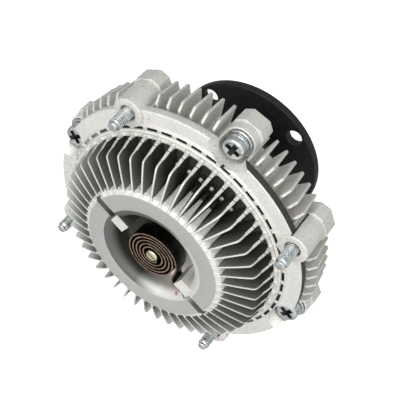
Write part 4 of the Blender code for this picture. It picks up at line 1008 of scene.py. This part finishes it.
def shaft(black):
    """Flange, neck and the seats of the bearing and rotor, with the pulley's pilot bore behind."""
    outline = rounded(
        [
            (0.0, PILOT_DEPTH, 0.0),
            (PILOT_RADIUS, PILOT_DEPTH, 0.3),
            (PILOT_RADIUS, 0.0, 0.5),
            (FLANGE_RADIUS, 0.0, 0.5),
            (FLANGE_RADIUS, FLANGE_THICKNESS, 0.7),
            (NECK_RADIUS, FLANGE_THICKNESS, 3.0),
            (NECK_RADIUS, 27.7, 0.3),
            (BEARING_SEAT, 27.7, 0.0),
            (BEARING_SEAT, 42.0, 0.0),
            (ROTOR_SEAT, 42.3, 0.0),
            (ROTOR_SEAT, SHAFT_FRONT, 0.4),
            (0.0, SHAFT_FRONT, 0.0),
        ]
    )
    bm = bmesh.new()
    lathe(bm, outline, BODY_SEGMENTS)
    part = make_object("flanged_shaft_finished", bm, black)
    bm = bmesh.new()
    r = FLANGE_HOLE_RADIUS
    countersink, past, chamfer = 1.9, 1.5, 0.4
    hole = [(0.0, -past), (r + countersink, -past), (r, chamfer)]
    hole += [(radius, FLANGE_THICKNESS - height) for radius, height in reversed(hole)]
    for degrees in circle_angles(FLANGE_HOLES, FLANGE_HOLE_ANGLE):
        spot = polar(FLANGE_HOLE_CIRCLE, degrees)
        lathe(bm, hole, SMALL_SEGMENTS, (spot.x, spot.y))
    return combine(part, make_object("flange_holes", bm, black), "DIFFERENCE")


def add_thread(bm, back, front, chamfer):
    """Adds a screw thread from back to front, its ends drawn in by a chamfer and closed."""
    profile = ((0.0, THREAD_CORE), (0.2, THREAD_CORE), (0.5, THREAD_RADIUS), (0.7, THREAD_RADIUS))
    turns = math.ceil((front - back) / THREAD_PITCH) + 1
    count = len(profile)
    rows = (turns + 1) * count
    columns = []
    for k in range(THREAD_SEGMENTS):
        column = []
        for row in range(rows + count):
            share, radius = profile[row % count]
            rise = (row // count - 1 + share + k / THREAD_SEGMENTS) * THREAD_PITCH
            height = min(max(back + rise, back), front)
            inside = THREAD_RADIUS - chamfer + min(height - back, front - height)
            point = polar(min(radius, inside), FULL_TURN * k / THREAD_SEGMENTS, height)
            column.append(bm.verts.new(point))
        columns.append(column)
    for k in range(THREAD_SEGMENTS):
        step = count if k == THREAD_SEGMENTS - 1 else 0
        after = columns[(k + 1) % THREAD_SEGMENTS]
        for row in range(rows - 1):
            bm.faces.new((columns[k][row], after[row + step], after[row + 1 + step], columns[k][row + 1]))
    bmesh.ops.remove_doubles(bm, verts=bm.verts, dist=WELD / MM)
    bmesh.ops.dissolve_degenerate(bm, edges=bm.edges, dist=WELD / MM)
    bmesh.ops.holes_fill(bm, edges=[e for e in bm.edges if e.is_boundary], sides=0)


def studs(tree, zinc):
    """Fan studs with their thread showing and a plain tip."""
    bm = bmesh.new()
    tip = STUD_FRONT - 1.3
    add_thread(bm, STUD_BACK, tip, THREAD_CHAMFER)
    plain = [(0.0, tip - 1.0, 0.0), (2.3, tip - 1.0, 0.0), (2.3, STUD_FRONT, 0.4), (0.0, STUD_FRONT, 0.0)]
    lathe(bm, rounded(plain), THREAD_SEGMENTS)
    stud = make_object("fan_studs", bm, zinc)
    return repeated(stud, tree, zinc, BOSS_PAIRS, STUD_ANGLE, BOSS_CIRCLE, QUARTER_TURN, seed=3)


def screws(tree, zinc, recess_shade):
    """Pan head screws with a cross recess, with painted shade in black inside it."""
    bm = bmesh.new()
    seat = level("spring_washer_1", 1) + SCREW_LIFT
    top = SCREW_FRONT + SCREW_LIFT / 2
    head = [(0.0, seat, 0.0), (HEAD_RADIUS, seat, 0.3), (HEAD_RADIUS, top, 1.0), (0.0, top, 0.0)]
    lathe(bm, rounded(head, steps=5), SMALL_SEGMENTS)
    screw = make_object("fan_screws", bm, zinc)
    for degrees in (0.0, QUARTER_TURN):
        bm = bmesh.new()
        turn = Matrix.Rotation(math.radians(degrees), 3, "Z")
        loops = []
        # Each loop: half the wing's length, half its width, height
        for x, y, z in ((1.9, 0.7, top - 2.4), (4.0, 1.25, top + 0.5)):
            loops.append([bm.verts.new(turn @ Vector((*corner, z))) for corner in rectangle(-x, x, -y, y)])
        loft(bm, loops)
        combine(screw, make_object("cross_recess", bm, zinc), "DIFFERENCE")
    bm = bmesh.new()
    add_thread(bm, SCREW_BACK, seat + 0.5, THREAD_CHAMFER)
    combine(screw, make_object("shank", bm, zinc), "UNION")
    four = repeated(screw, tree, zinc, BOSS_PAIRS, SCREW_ANGLE, BOSS_CIRCLE, QUARTER_TURN, seed=11)

    def in_recess(centre, normal):
        nearest = round(math.degrees(math.atan2(centre.y, centre.x)) / QUARTER_TURN) * QUARTER_TURN
        reach = (centre - polar(BOSS_CIRCLE, nearest, centre.z)).length
        return reach < 4.3 and top - 2.6 < centre.z < top - 0.05

    # Painted shade: the faces inside the cross recess take the black steel
    paint_faces(four, recess_shade, in_recess)
    return four


def washers(tree, zinc):
    """The flat washer and the split spring washer under each screw."""
    def section(node, outer, inner_round):
        """The (radius, height) outline of a washer's ring, at its node's levels."""
        back, front = level(node, 0) + SCREW_LIFT, level(node, 1) + SCREW_LIFT
        corners = [(BORE_RADIUS, back, inner_round), (outer, back, 0.25)]
        return rounded([*corners, (outer, front, 0.25), (BORE_RADIUS, front, inner_round)])

    bm = bmesh.new()
    lathe(bm, section("flat_washer_1", FLAT_WASHER_RADIUS, 0.1), SMALL_SEGMENTS)
    flat = repeated(make_object("flat_washers", bm, zinc), tree, zinc, BOSS_PAIRS, SCREW_ANGLE, BOSS_CIRCLE)
    bm = bmesh.new()
    ring = section("spring_washer_1", SPRING_WASHER_RADIUS, 0.2)
    slit = 9.0
    loops = []
    for k in range(SMALL_SEGMENTS + 1):
        degrees = slit / 2 + (FULL_TURN - slit) * k / SMALL_SEGMENTS
        loops.append([bm.verts.new(polar(radius, degrees, height)) for radius, height in ring])
    loft(bm, loops)
    spring = make_object("spring_washers", bm, zinc)
    return flat, repeated(spring, tree, zinc, BOSS_PAIRS, SCREW_ANGLE, BOSS_CIRCLE, FULL_TURN, seed=5)


def coil_path():
    """The middle line of the bimetal strip: from the pin's slot, round the turns, into a lug's slit."""
    steps_per_turn = 60
    # The outer end in the lug's own directions: outward, and round the axis
    tang = ((13.1, 2.9), (13.6, 0.9), (14.5, -1.1), (16.2, -2.6), (18.2, -2.85), (21.8, -2.85))
    first = COIL_LUG - 20.0
    last = COIL_LUG + 24.0 - FULL_TURN * COIL_TURNS
    points = [polar(x, COIL_LUG) for x in (-2.3, -1.0, 0.6, 2.3)]
    points.append(polar(3.3, COIL_LUG - 5.0))
    steps = round((first - last) / FULL_TURN * steps_per_turn)
    for i in range(steps + 1):
        degrees = first + (last - first) * i / steps
        share = (COIL_LUG - degrees) / (COIL_LUG - last)
        points.append(polar(COIL_INNER + (COIL_OUTER - COIL_INNER) * share, degrees))
    turn = Matrix.Rotation(math.radians(COIL_LUG), 3, "Z")
    return points + [turn @ Vector((x, y, 0.0)) for x, y in tang]


def coil(strip, edge):
    """The bimetal strip on edge, its corners slightly rounded."""
    half = STRIP_THICKNESS / 2
    middle = (COIL_BACK + COIL_FRONT) / 2
    reach = (COIL_FRONT - COIL_BACK) / 2
    section = rounded([(x, z, 0.2) for x, z in rectangle(-half, half, -reach, reach)], steps=2)
    points = coil_path()
    bm = bmesh.new()
    loops = []
    for i, point in enumerate(points):
        along = (points[min(i + 1, len(points) - 1)] - points[max(i - 1, 0)]).normalized()
        across = Vector((-along.y, along.x, 0.0))
        spots = [point + across * x + Vector((0.0, 0.0, middle + z)) for x, z in section]
        loops.append([bm.verts.new(spot) for spot in spots])
    loft(bm, loops)
    part = make_object("thermostat_coil", bm, strip)
    paint_faces(part, edge, lambda centre, normal: abs(normal.z) > 0.6)
    return part


def pin(metal):
    """The pivot pin that the coil turns, slotted at its tip."""
    tip_back = COIL_BACK - 0.3
    outline = rounded(
        [
            (0.0, PIN_BACK, 0.0),
            (2.3, PIN_BACK, 0.2),
            (2.3, PIN_BACK + 1.3, 0.0),
            (5.0, PIN_BACK + 1.3, 0.3),
            (5.0, PIN_BACK + 4.1, 0.3),
            (PIN_RADIUS, PIN_BACK + 4.1, 0.0),
            (PIN_RADIUS, tip_back, 0.3),
            (PIN_TIP_RADIUS, tip_back, 0.0),
            (PIN_TIP_RADIUS, PIN_FRONT, 0.5),
            (0.0, PIN_FRONT, 0.0),
        ]
    )
    bm = bmesh.new()
    lathe(bm, outline, SMALL_SEGMENTS)
    part = make_object("valve_pin", bm, metal)
    bm = bmesh.new()
    slot = rectangle(-4.0, 4.0, -0.55, 0.55)
    add_plate(bm, slot, tip_back, PIN_FRONT + 2.0, 0.1, SLOT_ANGLE)
    return combine(part, make_object("pin_slot", bm, metal), "DIFFERENCE")


def bearing_rings(steel, rubber):
    """Races and seals of the ball bearing, which shows behind the hub."""
    back, front = level("bearing_outer_race", 0), level("bearing_outer_race", 1)
    # Each row: which ring, its body, its radii and the rounding of its edges
    rings = (
        ("outer", "housing", 19.1, 23.5, 0.5),
        ("inner", "drive", 10.0, 14.4, 0.4),
    )
    for which, body, inner, outer, edge in rings:
        bm = bmesh.new()
        corners = [(radius, height, edge) for radius, height in rectangle(inner, outer, back, front)]
        lathe(bm, rounded(corners), RING_SEGMENTS)
        ring = make_object(f"bearing_{which}_ring", bm, steel)
        stand_for(ring, body, "bearing_steel", f"bearing_{which}_race")
    for side in ("rear", "front"):
        node = f"bearing_seal_{side}"
        outward = level(node, 0 if side == "rear" else 1)
        inward = level(node, 1 if side == "rear" else 0)
        dip = outward + (inward - outward) * 0.45
        corners = [
            (14.7, inward, 0.0),
            (14.7, outward, 0.15),
            (15.6, outward, 0.15),
            (15.9, dip, 0.1),
            (17.6, dip, 0.1),
            (17.9, outward, 0.15),
            (18.8, outward, 0.15),
            (18.8, inward, 0.0),
        ]
        bm = bmesh.new()
        lathe(bm, rounded(corners), RING_SEGMENTS)
        stand_for(make_object(f"lip_{node}", bm, rubber), "housing", "black_rubber", node)


def build_pieces(looks):
    """Every piece that scene.py adds, in the place of its nodes; each but the coil rides on its body."""
    tree = ring_of_copies()
    cast, zinc = looks["cast"], looks["zinc"]
    for node, make in (("front_cover", front_casting), ("rear_case", rear_casting)):
        casting = make(tree, cast, looks["machined"], looks["painted_shade"])
        stand_for(casting, "housing", "cast_aluminium", node)
    stand_for(shaft(looks["black"]), "drive", "black_steel", "flanged_shaft")
    fasteners = {"fan_stud": studs(tree, zinc), "fan_screw": screws(tree, zinc, looks["black"])}
    fasteners["flat_washer"], fasteners["spring_washer"] = washers(tree, zinc)
    for kind, four in fasteners.items():
        nodes = [f"{kind}_{i}" for i in range(1, BOSS_PAIRS + 1)]
        stand_for(four, "housing", "zinc_plated_steel", *nodes)
    spiral = coil(looks["bimetal"], looks["bimetal_edge"])
    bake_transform(spiral)
    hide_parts("bimetal_coil")
    stand_for(pin(looks["brass"]), "valve", "brass", "pivot_pin")
    bearing_rings(looks["steel"], looks["rubber"])


def dress_nodes(looks):
    """Gives each CAD node that stays its own material."""
    kinds = {
        "rotor": "machined",
        "partition_plate": "machined",
        "case_seal": "rubber",
        "pivot_seal": "rubber",
        "valve_arm": "steel",
        "bearing_cage": "brass",
        "bearing_snap_ring": "black",
    }
    for name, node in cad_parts.items():
        kind = "steel" if name.startswith("bearing_ball") else kinds.get(name, "cast")
        node.data.materials.clear()
        node.data.materials.append(looks[kind])


def place_camera():
    """The camera at the photograph's place, aim and roll."""
    camera = bpy.data.objects.new("camera", bpy.data.cameras.new("camera"))
    bpy.context.scene.collection.objects.link(camera)
    camera.data.lens = CAMERA_LENS
    camera.data.sensor_width = SENSOR_WIDTH
    camera.data.clip_start = 0.01
    aim = polar(math.cos(math.radians(CAMERA_DIP)), CAMERA_HEADING, -math.sin(math.radians(CAMERA_DIP)))
    roll = Quaternion((0.0, 0.0, 1.0), math.radians(CAMERA_ROLL))
    camera.location = CAMERA_PLACE
    camera.rotation_mode = "QUATERNION"
    camera.rotation_quaternion = aim.to_track_quat("-Z", "Y") @ roll
    bpy.context.scene.camera = camera


def place_floor():
    """A plain pale floor that the flange stands on."""
    bm = bmesh.new()
    bmesh.ops.create_circle(bm, cap_ends=True, segments=64, radius=15000.0)
    floor = make_object("floor", bm)
    material, _, shader, _ = new_material("painted_board", 0.0, Roughness=0.9)
    shader.inputs["Base Color"].default_value = linear("#F7F7F6")
    shader.inputs["Emission Color"].default_value = linear("#FFFFFF")
    shader.inputs["Emission Strength"].default_value = 0.75
    floor.data.materials.append(material)
    floor.visible_glossy = False
    floor.visible_diffuse = False


def add_sun(name, toward, power, width):
    """A broad lamp from a direction, as wide as a soft box seen from the clutch."""
    lamp = bpy.data.lights.new(name, "SUN")
    lamp.energy = power
    lamp.angle = math.radians(width)
    obj = bpy.data.objects.new(name, lamp)
    bpy.context.scene.collection.objects.link(obj)
    obj.rotation_mode = "QUATERNION"
    obj.rotation_quaternion = Vector(toward).to_track_quat("Z", "Y")


def place_light():
    """Soft studio light from above and the camera's side, with a darker side beyond."""
    world = bpy.data.worlds.new("studio")
    bpy.context.scene.world = world
    world.use_nodes = True
    tree = world.node_tree
    tree.nodes.clear()
    direction = add(tree, "ShaderNodeTexCoord").outputs["Generated"]
    bright_side = Vector((-0.25, -0.55, 0.8)).normalized()
    toward = add(tree, VECTORS, {0: direction, 1: bright_side}, operation="DOT_PRODUCT").outputs["Value"]
    # Under half strength on the far side, a little over full strength on the bright one
    strength = add(tree, RANGE, {0: toward, 1: -0.3, 2: 0.8, 3: 0.45, 4: 1.15}).outputs[0]
    white = {"Color": linear("#FFFFFF"), "Strength": strength}
    surface = add(tree, "ShaderNodeBackground", white).outputs[0]
    add(tree, "ShaderNodeOutputWorld", {"Surface": surface})
    add_sun("key", toward=(0.15, -0.4, 0.87), power=1.9, width=40.0)
    view = bpy.context.scene.view_settings
    view.view_transform = "Standard"
    view.look = "None"


def build():
    looks = {
        "cast": cast_aluminium(),
        "painted_shade": painted_shade_material(),
        "machined": machined_aluminium(),
        "black": black_steel(),
        "zinc": zinc_plated_steel(),
        "bimetal": bimetal(),
        "bimetal_edge": bright_edge(),
        "brass": brass(),
        "steel": bearing_steel(),
        "rubber": black_rubber(),
    }
    place_camera()
    dress_nodes(looks)
    build_pieces(looks)
    place_floor()
    place_light()


build()
